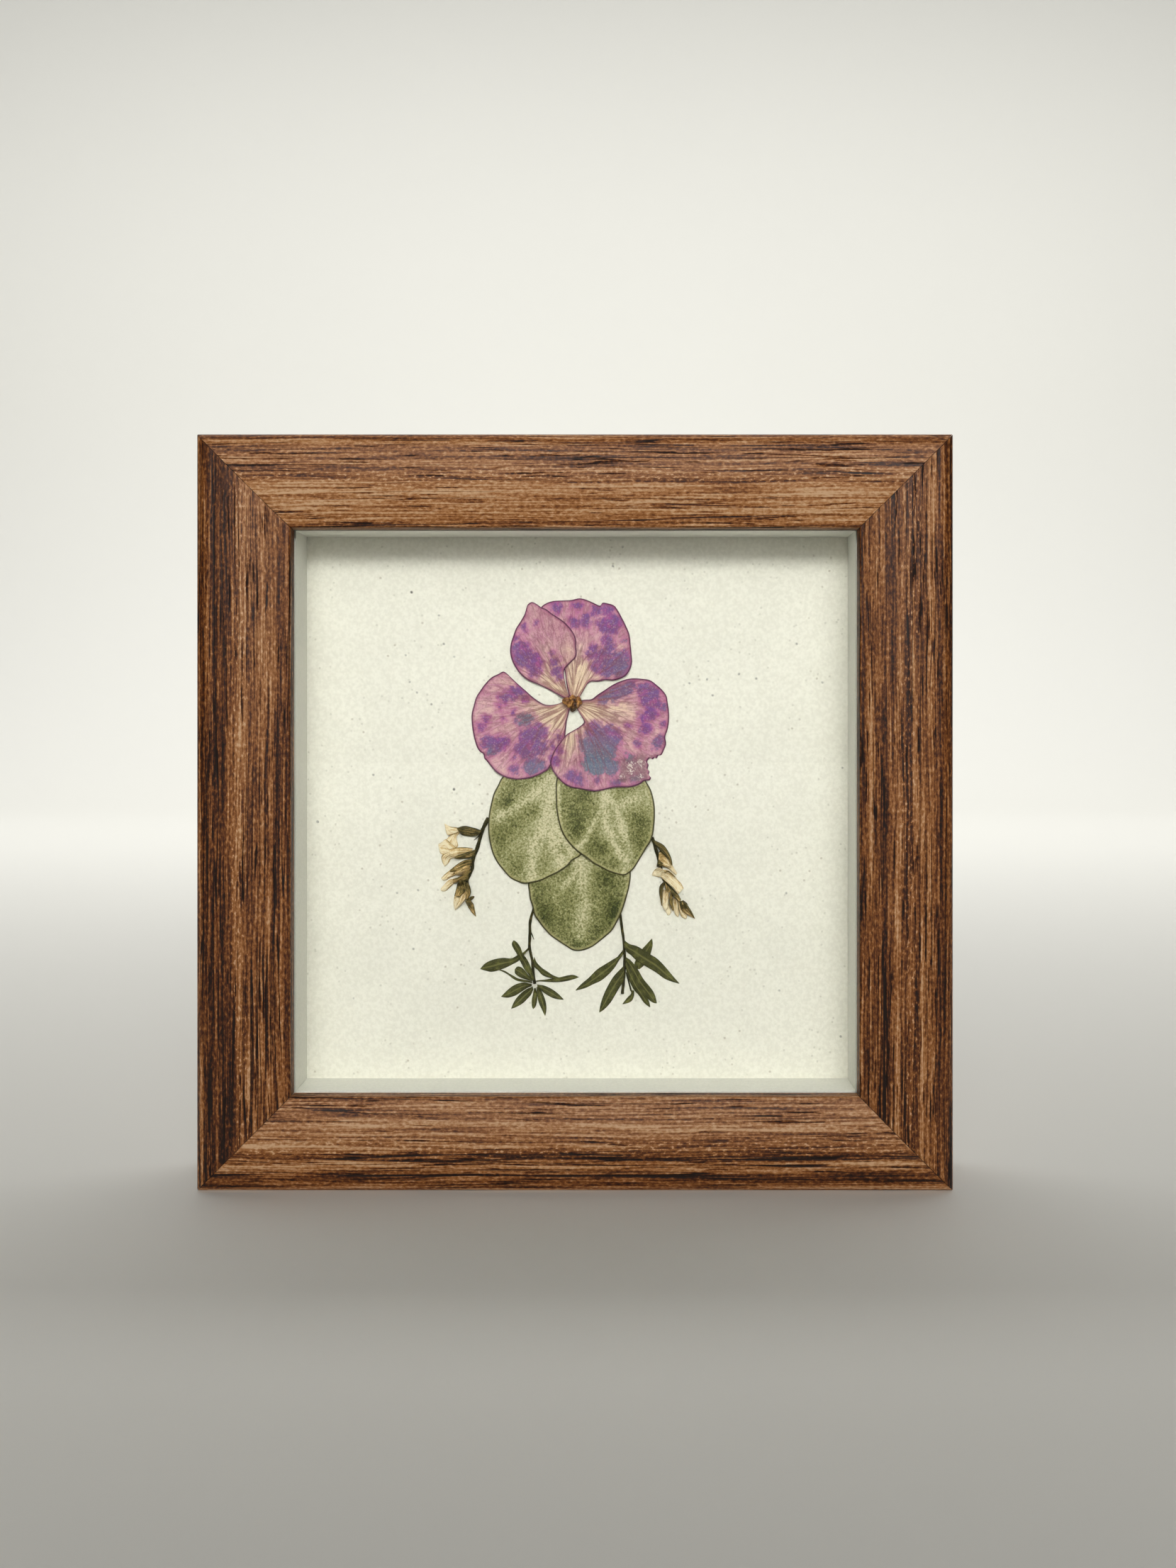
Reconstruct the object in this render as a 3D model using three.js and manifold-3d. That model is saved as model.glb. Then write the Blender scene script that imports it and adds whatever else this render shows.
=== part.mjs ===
// A pressed-flower picture in a square box frame with a wood-look moulding.
// Units are millimetres. +X is right, +Z is up, and the glass faces -Y. The origin is under the
// middle of the frame, on the surface that the bottom rail stands on.
import * as THREE from "three";
import { mergeVertices } from "three/addons/utils/BufferGeometryUtils.js";
import Module from "manifold-3d";

const wasm = await Module();
wasm.setup();

// Moulding
const FRAME_SIDE = 150; // outside width and height
const RAIL_WIDTH = 18.5; // outer edge to the edge of the opening
const RAIL_DEPTH = 22.3; // crown to the back of the rail
const SHOULDER_WIDTH = 3.6; // rounded outer edge
const SHOULDER_DROP = 2.3;
const CROWN_AT = 8; // distance of the highest line from the outer edge
const CROWN_RISE = 0.3;
const SLOPE_DROP = 2.1; // fall from the crown to the inner edge
const NOSE_RADIUS = 0.5; // rounding of the inner edge
const LIP_THICKNESS = 2.9; // nose to the face that the glass lies on
const RABBET_WIDTH = 4.7; // how far the lip stands over the glass
const MITRE_GAP = 0.12;

// What lies in the rabbet, from the front
const LAYER_GAP = 0.05; // between layers that lie on each other
const SIDE_CLEARANCE = 0.4; // between the layers and the rabbet wall
const GLASS_THICKNESS = 2;
const LINER_DEPTH = 10;
const CARD_THICKNESS = 1.5;
const PANEL_THICKNESS = 3;

// Hardware on the back
const BUTTON_THICKNESS = 1;
const BUTTON_LIFT = 0.1; // running gap under a turn button and under its screw's head
const BUTTON_PIVOT_RADIUS = 4;
const BUTTON_TIP_RADIUS = 2.8;
const BUTTON_REACH = 10.5; // pivot to the centre of the tip
const BUTTON_HOLE_RADIUS = 1.75;
const BUTTON_INSET = 8.8; // pivot to the outer edge of the rail
const BUTTON_HEIGHT = 32; // pivot above or below the middle of the frame
const SCREW_HEAD_RADIUS = 2.9;
const SCREW_HEAD_HEIGHT = 0.9;
const SCREW_SHANK_RADIUS = 1.45;
const SCREW_LENGTH = 8.5; // under the head
const SCREW_HOLE_CLEARANCE = 0.15;
const HANGER_LENGTH = 44;
const HANGER_HEIGHT = 8;
const HANGER_SHEET = 0.8;
const HANGER_RISE = 0.9; // how far its middle stands off the rail
const HANGER_TEETH = 9;
const HANGER_TOOTH_PITCH = 2.7;
const HANGER_TOOTH_DEPTH = 1.5;
const HANGER_INSET = 3; // top of the hanger below the top of the frame

// Pressed plants
const PETAL_THICKNESS = 0.2;
const LEAF_THICKNESS = 0.3;
const LEAFLET_THICKNESS = 0.22;
const FLORET_THICKNESS = 0.7;
const BLOOM_THICKNESS = 0.45;
const STALK_THICKNESS = 0.45;
const PRESSED_GAP = 0.1; // between pressed pieces that lie on each other

// The plants' outlines are given on a drawing of their own, which goes on the card this much
// larger and moved by this much right and up.
const DRAWING_SCALE = 1.015;
const DRAWING_RIGHT = -0.25;
const DRAWING_UP = -0.16;
const onCard = ([u, v]) => [u * DRAWING_SCALE + DRAWING_RIGHT, v * DRAWING_SCALE + DRAWING_UP];

const HALF = FRAME_SIDE / 2;
const HARDWARE_DEPTH = BUTTON_LIFT * 2 + BUTTON_THICKNESS + SCREW_HEAD_HEIGHT;
const FRONT_Y = -(RAIL_DEPTH + HARDWARE_DEPTH) / 2;
const NOSE_DEPTH = SLOPE_DROP + NOSE_RADIUS;
const LIP_BACK = NOSE_DEPTH + LIP_THICKNESS;
const OPENING = FRAME_SIDE - 2 * RAIL_WIDTH;
const RABBET_SIDE = OPENING + 2 * RABBET_WIDTH;
const PANE_SIDE = RABBET_SIDE - 2 * SIDE_CLEARANCE;
const LINER_THICKNESS = (PANE_SIDE - OPENING) / 2; // flush with the edge of the opening
const GLASS_AT = LIP_BACK + LAYER_GAP;
const LINER_AT = GLASS_AT + GLASS_THICKNESS + LAYER_GAP;
const CARD_AT = LINER_AT + LINER_DEPTH + LAYER_GAP;
const PANEL_AT = CARD_AT + CARD_THICKNESS + LAYER_GAP;
const CARD_Y = FRONT_Y + CARD_AT;
const BACK_Y = FRONT_Y + RAIL_DEPTH;

const paint = (color, roughness, metalness = 0, extra = {}) =>
  new THREE.MeshStandardMaterial({ color, roughness, metalness, ...extra });
const MATERIALS = {
  wood: paint(0x7a4e2e, 0.5),
  glass: paint(0xf4f8f6, 0.05, 0, { transparent: true, opacity: 0.15 }),
  liner: paint(0xe6e6de, 0.6),
  card: paint(0xefece0, 0.9),
  board: paint(0x8a6a48, 0.85),
  steel: paint(0x9a9a98, 0.35, 0.9),
  petal: paint(0xb27ba2, 0.8),
  heart: paint(0x5e3c18, 0.7),
  leaf: paint(0x7f8459, 0.8),
  leaflet: paint(0x3f4128, 0.8),
  floret: paint(0xa98f63, 0.8),
  stalk: paint(0x37361f, 0.8),
};

const root = new THREE.Group();
const middle = new THREE.Group(); // its origin is the centre of the frame's outline
middle.position.z = HALF;
root.add(middle);

function add(name, geometry, material, parent = middle) {
  const mesh = new THREE.Mesh(geometry, material);
  mesh.name = name;
  parent.add(mesh);
  return mesh;
}

// Solids from geometries and back

function solidOf(geometry) {
  const bare = geometry.index ? geometry.toNonIndexed() : geometry.clone();
  bare.deleteAttribute("normal");
  bare.deleteAttribute("uv");
  const merged = mergeVertices(bare, 1e-4);
  return new wasm.Manifold(
    new wasm.Mesh({
      numProp: 3,
      vertProperties: new Float32Array(merged.attributes.position.array),
      triVerts: new Uint32Array(merged.index.array),
    }),
  );
}

function geometryOf(solid) {
  const mesh = solid.getMesh();
  return new THREE.BufferGeometry()
    .setAttribute("position", new THREE.BufferAttribute(mesh.vertProperties, 3))
    .setIndex(new THREE.BufferAttribute(mesh.triVerts, 1));
}

function geometryFrom(vertices, triangles) {
  return new THREE.BufferGeometry()
    .setAttribute("position", new THREE.Float32BufferAttribute(vertices.flat(), 3))
    .setIndex(triangles.flat());
}

// Frame

// The moulding's section as (distance from the outer edge, depth behind the crown), going round.
function railSection() {
  const points = [];
  const shoulderSteps = 6;
  for (let i = 0; i <= shoulderSteps; i++) {
    const turn = (Math.PI / 2) * (1 - i / shoulderSteps);
    const across = SHOULDER_WIDTH * (1 - Math.sin(turn));
    points.push([across, CROWN_RISE + SHOULDER_DROP * (1 - Math.cos(turn))]);
  }
  points.push([(SHOULDER_WIDTH + CROWN_AT) / 2, CROWN_RISE / 4], [CROWN_AT, 0]);
  const slopeEnd = RAIL_WIDTH - NOSE_RADIUS;
  const slopeSteps = 5;
  for (let i = 1; i <= slopeSteps; i++) {
    const share = i / slopeSteps;
    points.push([CROWN_AT + (slopeEnd - CROWN_AT) * share, SLOPE_DROP * share ** 1.6]);
  }
  const noseSteps = 3;
  for (let i = 1; i <= noseSteps; i++) {
    const turn = ((Math.PI / 2) * i) / noseSteps;
    const across = slopeEnd + NOSE_RADIUS * Math.sin(turn);
    points.push([across, SLOPE_DROP + NOSE_RADIUS * (1 - Math.cos(turn))]);
  }
  const rabbet = RAIL_WIDTH - RABBET_WIDTH;
  points.push([RAIL_WIDTH, LIP_BACK], [rabbet, LIP_BACK], [rabbet, RAIL_DEPTH], [0, RAIL_DEPTH]);
  return points;
}

// A rail with mitred ends that lies along X below the frame's centre.
function railGeometry() {
  const section = railSection();
  const count = section.length;
  const vertices = [];
  for (const side of [-1, 1])
    for (const [across, depth] of section)
      vertices.push([side * (HALF - across - MITRE_GAP / 2), FRONT_Y + depth, across - HALF]);
  const triangles = [];
  for (let i = 0; i < count; i++) {
    const next = (i + 1) % count;
    triangles.push([i, count + i, count + next], [i, count + next, next]);
  }
  const outline = section.map(([across, depth]) => new THREE.Vector2(across, depth));
  for (const [a, b, c] of THREE.ShapeUtils.triangulateShape(outline, []))
    triangles.push([a, b, c], [count + a, count + c, count + b]);
  const geometry = geometryFrom(vertices, triangles);
  if (solidOf(geometry).volume() < 0) geometryFlip(geometry);
  return geometry;
}

function geometryFlip(geometry) {
  const index = geometry.index.array;
  for (let i = 0; i < index.length; i += 3) [index[i + 1], index[i + 2]] = [index[i + 2], index[i + 1]];
}

// The pilot holes of two button screws, in the back of a rail that lies along X.
function withScrewHoles(geometry) {
  let rail = solidOf(geometry);
  const depth = SCREW_LENGTH;
  for (const side of [-1, 1]) {
    const radius = SCREW_SHANK_RADIUS + SCREW_HOLE_CLEARANCE;
    const hole = new THREE.CylinderGeometry(radius, radius, depth * 2, 16);
    hole.translate(side * BUTTON_HEIGHT, BACK_Y, BUTTON_INSET - HALF);
    rail = rail.subtract(solidOf(hole));
  }
  return geometryOf(rail);
}

function buildRails() {
  const plain = railGeometry();
  const drilled = withScrewHoles(plain);
  const sides = [
    ["rail_bottom", plain, 0],
    ["rail_left", drilled, Math.PI / 2],
    ["rail_top", plain, Math.PI],
    ["rail_right", drilled, -Math.PI / 2],
  ];
  for (const [name, geometry, turn] of sides) add(name, geometry, MATERIALS.wood).rotation.y = turn;
}

function slab(name, width, depthAt, thickness, height, material, x = 0, z = 0) {
  const mesh = add(name, new THREE.BoxGeometry(width, thickness, height), material);
  mesh.position.set(x, FRONT_Y + depthAt + thickness / 2, z);
  return mesh;
}

function buildLayers() {
  slab("glass", PANE_SIDE, GLASS_AT, GLASS_THICKNESS, PANE_SIDE, MATERIALS.glass);
  slab("card", PANE_SIDE, CARD_AT, CARD_THICKNESS, PANE_SIDE, MATERIALS.card);
  slab("back_panel", PANE_SIDE, PANEL_AT, PANEL_THICKNESS, PANE_SIDE, MATERIALS.board);
  const reach = (PANE_SIDE - LINER_THICKNESS) / 2;
  const between = PANE_SIDE - 2 * LINER_THICKNESS - 2 * LAYER_GAP;
  for (const [name, side] of [["liner_left", -1], ["liner_right", 1]])
    slab(name, LINER_THICKNESS, LINER_AT, LINER_DEPTH, PANE_SIDE, MATERIALS.liner, side * reach);
  for (const [name, side] of [["liner_bottom", -1], ["liner_top", 1]])
    slab(name, between, LINER_AT, LINER_DEPTH, LINER_THICKNESS, MATERIALS.liner, 0, side * reach);
}

// A turn button in the XZ plane, with its pivot at the origin and its tip along +X.
function buttonGeometry() {
  const lean = Math.acos((BUTTON_PIVOT_RADIUS - BUTTON_TIP_RADIUS) / BUTTON_REACH);
  const shape = new THREE.Shape();
  shape.absarc(0, 0, BUTTON_PIVOT_RADIUS, lean, -lean, false);
  shape.absarc(BUTTON_REACH, 0, BUTTON_TIP_RADIUS, -lean, lean, false);
  shape.closePath();
  const hole = new THREE.Path();
  hole.absarc(0, 0, BUTTON_HOLE_RADIUS, 0, Math.PI * 2, true);
  shape.holes.push(hole);
  return new THREE.ExtrudeGeometry(shape, {
    depth: BUTTON_THICKNESS,
    bevelEnabled: false,
    curveSegments: 8,
  }).rotateX(-Math.PI / 2);
}

// A pan-head screw along Y, its head's underside at y 0 and its cross recess facing +Y.
function screwGeometry() {
  const profile = [
    [0, -SCREW_LENGTH + 0.5],
    [SCREW_SHANK_RADIUS * 0.3, -SCREW_LENGTH + 0.7],
    [SCREW_SHANK_RADIUS, -SCREW_LENGTH + 3],
    [SCREW_SHANK_RADIUS, 0],
    [SCREW_HEAD_RADIUS, 0],
    [SCREW_HEAD_RADIUS, SCREW_HEAD_HEIGHT * 0.35],
    [SCREW_HEAD_RADIUS * 0.75, SCREW_HEAD_HEIGHT * 0.85],
    [SCREW_HEAD_RADIUS * 0.4, SCREW_HEAD_HEIGHT],
    [0, SCREW_HEAD_HEIGHT],
  ].map(([r, y]) => new THREE.Vector2(r, y));
  let screw = solidOf(new THREE.LatheGeometry(profile, 14));
  const recess = SCREW_HEAD_HEIGHT * 0.6;
  for (const [wide, long] of [[0.55, 3], [3, 0.55]]) {
    const slot = new THREE.BoxGeometry(wide, recess * 2, long).translate(0, SCREW_HEAD_HEIGHT, 0);
    screw = screw.subtract(solidOf(slot));
  }
  return geometryOf(screw);
}

function buildButtons() {
  const button = buttonGeometry();
  const screw = screwGeometry();
  for (const [side, word] of [[-1, "left"], [1, "right"]])
    for (const [up, place] of [[1, "upper"], [-1, "lower"]]) {
      const pivot = new THREE.Group();
      pivot.position.set(side * (HALF - BUTTON_INSET), BACK_Y, up * BUTTON_HEIGHT);
      pivot.rotation.y = side > 0 ? Math.PI : 0;
      middle.add(pivot);
      const name = `${place}_${word}`;
      add(`turn_button_${name}`, button, MATERIALS.steel, pivot).position.y = BUTTON_LIFT;
      const head = 2 * BUTTON_LIFT + BUTTON_THICKNESS;
      add(`button_screw_${name}`, screw, MATERIALS.steel, pivot).position.y = head;
    }
}

// A bent strip of sheet steel with saw teeth along the lower edge of its raised middle.
function buildHanger() {
  const end = HANGER_LENGTH / 2;
  const bend = end - 6.6;
  const lower = [[-end, 0], [-bend, 0], [-bend + 1.4, HANGER_RISE]];
  const side = lower.map(([x, y]) => [x, y + HANGER_SHEET]);
  const mirrored = (points) => points.map(([x, y]) => [-x, y]).reverse();
  const outline = [...lower, ...mirrored(lower), ...mirrored(side).reverse(), ...side.slice().reverse()];
  const shape = new THREE.Shape(outline.map(([x, y]) => new THREE.Vector2(x, y)));
  const strip = new THREE.ExtrudeGeometry(shape, { depth: HANGER_HEIGHT, bevelEnabled: false });
  let hanger = solidOf(strip);
  for (let i = 0; i < HANGER_TEETH; i++) {
    const x = (i - (HANGER_TEETH - 1) / 2) * HANGER_TOOTH_PITCH;
    const notch = new THREE.Shape([
      new THREE.Vector2(x - HANGER_TOOTH_PITCH * 0.42, -1),
      new THREE.Vector2(x + HANGER_TOOTH_PITCH * 0.42, -1),
      new THREE.Vector2(x, HANGER_TOOTH_DEPTH),
    ]);
    const cut = new THREE.ExtrudeGeometry(notch, { depth: 6, bevelEnabled: false });
    hanger = hanger.subtract(solidOf(cut.rotateX(Math.PI / 2).translate(0, 4, 0)));
  }
  for (const x of [-end + 3, end - 3]) {
    const nail = new THREE.SphereGeometry(1.5, 12, 8).scale(1, 0.45, 1);
    hanger = hanger.add(solidOf(nail.translate(x, HANGER_SHEET, HANGER_HEIGHT / 2)));
  }
  const mesh = add("sawtooth_hanger", geometryOf(hanger), MATERIALS.steel);
  mesh.position.set(0, BACK_Y + LAYER_GAP, HALF - HANGER_INSET - HANGER_HEIGHT);
}

// Pressed plants. Points are (right, up) from the centre of the frame, on the face of the card.

const MAP_CELL = 0.25;
const MAP_HALF_WIDTH = 30;
const MAP_HALF_HEIGHT = 46;
const mapColumns = (2 * MAP_HALF_WIDTH) / MAP_CELL;
const mapRows = (2 * MAP_HALF_HEIGHT) / MAP_CELL;
const laidHeights = new Float64Array(mapColumns * mapRows); // how high what is laid down stands

const mapColumn = (u) => (u + MAP_HALF_WIDTH) / MAP_CELL - 0.5;
const mapRow = (v) => (v + MAP_HALF_HEIGHT) / MAP_CELL - 0.5;

function highestWithin(u, v, reach) {
  const cells = Math.ceil(reach / MAP_CELL);
  const column = Math.round(mapColumn(u));
  const row = Math.round(mapRow(v));
  let highest = 0;
  for (let r = row - cells; r <= row + cells; r++)
    for (let c = column - cells; c <= column + cells; c++)
      if (Math.hypot(r - row, c - column) <= cells + 0.5)
        highest = Math.max(highest, laidHeights[r * mapColumns + c] || 0);
  return highest;
}

function markTriangle(corners) {
  const [a, b, c] = corners.map(([u, v, h]) => [mapColumn(u), mapRow(v), h]);
  const area = (b[0] - a[0]) * (c[1] - a[1]) - (c[0] - a[0]) * (b[1] - a[1]);
  if (Math.abs(area) < 1e-9) return;
  const span = (k) => {
    const values = [a[k], b[k], c[k]];
    return [Math.floor(Math.min(...values)), Math.ceil(Math.max(...values))];
  };
  const [c0, c1] = span(0);
  const [r0, r1] = span(1);
  for (let r = r0; r <= r1; r++)
    for (let q = c0; q <= c1; q++) {
      const wb = ((q - a[0]) * (c[1] - a[1]) - (c[0] - a[0]) * (r - a[1])) / area;
      const wc = ((b[0] - a[0]) * (r - a[1]) - (q - a[0]) * (b[1] - a[1])) / area;
      if (wb < -0.05 || wc < -0.05 || wb + wc > 1.05) continue;
      const height = a[2] * (1 - wb - wc) + b[2] * wb + c[2] * wc;
      const cell = r * mapColumns + q;
      laidHeights[cell] = Math.max(laidHeights[cell], height);
    }
}

// A thin solid over flat triangles: its back drapes over what is laid under it, its front is
// thickness[i] further out at each point, and walls close it round the outline.
function pressedSolid(name, material, { points, triangles, outline, thickness, reach }) {
  const count = points.length;
  const places = points.map(onCard);
  const backs = points.map(([u, v]) => highestWithin(u, v, reach) + PRESSED_GAP);
  const fronts = backs.map((back, i) => back + thickness[i]);
  const vertices = [
    ...places.map(([x, z], i) => [x, CARD_Y - fronts[i], z]),
    ...places.map(([x, z], i) => [x, CARD_Y - backs[i], z]),
  ];
  const faces = [];
  for (const [a, b, c] of triangles) faces.push([a, b, c], [count + a, count + c, count + b]);
  outline.forEach((p, i) => {
    const q = outline[(i + 1) % outline.length];
    faces.push([q, p, count + p], [q, count + p, count + q]);
  });
  for (const corner of triangles) markTriangle(corner.map((i) => [...points[i], fronts[i]]));
  return add(name, geometryFrom(vertices, faces), material);
}

function smoothCurve(points, steps, closed) {
  const curve = new THREE.CatmullRomCurve3(
    points.map(([u, v]) => new THREE.Vector3(u, v, 0)),
    closed,
    "centripetal",
  );
  return curve.getSpacedPoints(steps).map((p) => [p.x, p.y]);
}

const lerp = (a, b, t) => a.map((value, k) => value + (b[k] - value) * t);

function turnsLeft(loop) {
  let area = 0;
  loop.forEach(([u, v], i) => {
    const [p, q] = loop[(i + 1) % loop.length];
    area += u * q - p * v;
  });
  return area > 0;
}

// A rounded piece: rings between its centre and its outline, thinner at the rim.
function disc(name, material, centre, outline, { thickness, steps, rings = 3, reach = 3 }) {
  const rim = smoothCurve(outline, steps, true).slice(0, steps);
  if (!turnsLeft(rim)) rim.reverse();
  const points = [centre];
  const thicknesses = [thickness];
  for (let ring = 1; ring <= rings; ring++)
    for (const place of rim) {
      points.push(lerp(centre, place, ring / rings));
      thicknesses.push(ring === rings ? thickness * 0.6 : thickness);
    }
  const triangles = [];
  for (let i = 0; i < steps; i++) {
    const next = (i + 1) % steps;
    triangles.push([0, 1 + i, 1 + next]);
    for (let ring = 1; ring < rings; ring++) {
      const inner = 1 + (ring - 1) * steps;
      const outer = inner + steps;
      triangles.push([inner + i, outer + i, outer + next], [inner + i, outer + next, inner + next]);
    }
  }
  const last = 1 + (rings - 1) * steps;
  const loop = rim.map((_, i) => last + i);
  return pressedSolid(name, material, { points, triangles, outline: loop, thickness: thicknesses, reach });
}

// A long piece between two edges that run from its base to its tip, fuller along its middle.
function blade(name, material, edges, { thickness, steps = 7, columns = 2, reach = 0.3, rim = 0.5 }) {
  let [one, other] = edges.map((edge) => smoothCurve(edge, steps, false));
  if (!turnsLeft([...one, ...other.slice().reverse()])) [one, other] = [other, one];
  const points = [];
  const thicknesses = [];
  for (let i = 0; i <= steps; i++)
    for (let j = 0; j <= columns; j++) {
      points.push(lerp(other[i], one[i], j / columns));
      thicknesses.push(thickness * (rim + (1 - rim) * Math.sin((Math.PI * j) / columns)));
    }
  const at = (i, j) => i * (columns + 1) + j;
  const triangles = [];
  for (let i = 0; i < steps; i++)
    for (let j = 0; j < columns; j++)
      triangles.push(
        [at(i, j), at(i, j + 1), at(i + 1, j + 1)],
        [at(i, j), at(i + 1, j + 1), at(i + 1, j)],
      );
  const outline = [];
  for (let j = 0; j < columns; j++) outline.push(at(0, j));
  for (let i = 0; i < steps; i++) outline.push(at(i, columns));
  for (let j = columns; j > 0; j--) outline.push(at(steps, j));
  for (let i = steps; i > 0; i--) outline.push(at(i, 0));
  return pressedSolid(name, material, { points, triangles, outline, thickness: thicknesses, reach });
}

// The two edges of a stalk of an even width along a path.
function stalkEdges(path, width) {
  const line = path.map(([u, v]) => new THREE.Vector2(u, v));
  const sides = line.map((point, i) => {
    const before = line[Math.max(0, i - 1)];
    const after = line[Math.min(line.length - 1, i + 1)];
    const along = after.clone().sub(before).normalize();
    return [-along.y * (width / 2), along.x * (width / 2)];
  });
  return [1, -1].map((way) => path.map(([u, v], i) => [u + way * sides[i][0], v + way * sides[i][1]]));
}

const stalk = (name, path, width, steps, reach = 0.3) =>
  blade(name, MATERIALS.stalk, stalkEdges(path, width), {
    thickness: STALK_THICKNESS, steps, reach, rim: 0.6,
  });

const leaflet = (name, edges, reach = 0.3) =>
  blade(name, MATERIALS.leaflet, edges, { thickness: LEAFLET_THICKNESS, reach });

const floret = (name, edges, thickness = FLORET_THICKNESS) =>
  blade(name, MATERIALS.floret, edges, { thickness, steps: 9, reach: 1, rim: 0.4 });

function buildLeftFoot() {
  stalk("foot_left_stalk", [
    [-8.4, -19.4], [-8.9, -21.6], [-9.4, -24.5], [-9.6, -28.3], [-9.1, -31], [-8.8, -34.4], [-8.6, -36.2],
  ], 0.45, 14);
  leaflet("foot_left_leaf_1", [
    [[-9.9, -28.9], [-11, -29.9], [-12.6, -30.4], [-13.8, -31], [-15.4, -30.8], [-17, -31.1],
      [-18.6, -32], [-19.75, -32.95]],
    [[-10.2, -29.2], [-11.2, -30.9], [-12.2, -31.6], [-13.2, -32.2], [-15, -33], [-16.4, -33.4],
      [-17.6, -33.6], [-18.8, -33.4], [-19.7, -33.1]],
  ]);
  leaflet("foot_left_leaf_2", [
    [[-9.1, -35.2], [-10.2, -33.4], [-11, -32.2], [-11.7, -31], [-12.3, -29.8], [-12.9, -28.6], [-13.2, -27.6]],
    [[-9, -34.6], [-9.3, -32.8], [-10.1, -31.2], [-10.8, -29.8], [-11.6, -28.4], [-12.4, -27.3], [-12.8, -27.2]],
  ], 1.2);
  leaflet("foot_left_leaf_3", [
    [[-9.3, -35.9], [-11, -35.5], [-12.2, -35.05], [-13.2, -34.3], [-14.5, -33.5], [-15.6, -33.05]],
    [[-9.4, -36.05], [-11, -35.8], [-12.4, -35.4], [-13.4, -34.7], [-14.6, -33.9], [-15.7, -33.35]],
  ], 0.9);
  leaflet("foot_left_leaf_4", [
    [[-8.8, -31.2], [-8, -32], [-7, -32.9], [-5.8, -33.7], [-4.6, -34.5], [-3.9, -34.8]],
    [[-8.7, -32.4], [-8.2, -33.1], [-7.4, -34], [-6.4, -34.7], [-5.4, -34.9], [-4.2, -34.95]],
  ]);
  leaflet("foot_left_leaf_5", [
    [[-8.1, -35.2], [-6, -35.1], [-4, -34.9], [-2.2, -34.6], [-1, -34.3], [-0.2, -34.4], [0.55, -34.65]],
    [[-8.1, -35.45], [-6.6, -35.6], [-4.4, -35.7], [-2.2, -35.4], [-0.5, -35.1], [0.5, -34.8]],
  ], 0.9);
  leaflet("foot_left_leaf_6", [
    [[-9.1, -36.5], [-10.4, -36.2], [-12, -36.6], [-13.4, -37.4], [-14.6, -38.2], [-15.4, -38.7]],
    [[-9.2, -36.9], [-10.2, -37.4], [-11.5, -37.9], [-12.8, -38.5], [-14.3, -38.9], [-15.35, -38.85]],
  ]);
  leaflet("foot_left_leaf_7", [
    [[-9.1, -37.2], [-10.5, -37.7], [-11.8, -38.5], [-12.8, -39.8], [-13.3, -40.8], [-13.5, -41.2]],
    [[-8.8, -37.4], [-9.3, -38.4], [-10, -39.4], [-11, -40.2], [-12.3, -40.9], [-13.4, -41.3]],
  ], 0.9);
  leaflet("foot_left_leaf_8", [
    [[-8.6, -37.4], [-8.8, -38], [-9.1, -39.2], [-9.1, -40.2], [-8.9, -41.2]],
    [[-8.2, -37.4], [-8, -38.2], [-8, -39], [-8.2, -40], [-8.75, -41.2]],
  ]);
  leaflet("foot_left_leaf_9", [
    [[-8, -37.2], [-7.95, -38.5], [-7.8, -39.9], [-7.2, -41.2], [-6.45, -42.55]],
    [[-7.5, -37.2], [-6.7, -38.4], [-6.2, -39.8], [-6.1, -41.2], [-6.3, -42.6]],
  ], 0.9);
  leaflet("foot_left_leaf_10", [
    [[-7.9, -36.2], [-6, -36.9], [-4.6, -37.6], [-3.4, -38.4], [-2.6, -39.15]],
    [[-7.8, -36.7], [-7, -37.4], [-6, -38.3], [-4.9, -38.9], [-3.6, -39.2], [-2.65, -39.25]],
  ], 0.9);
}

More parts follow.
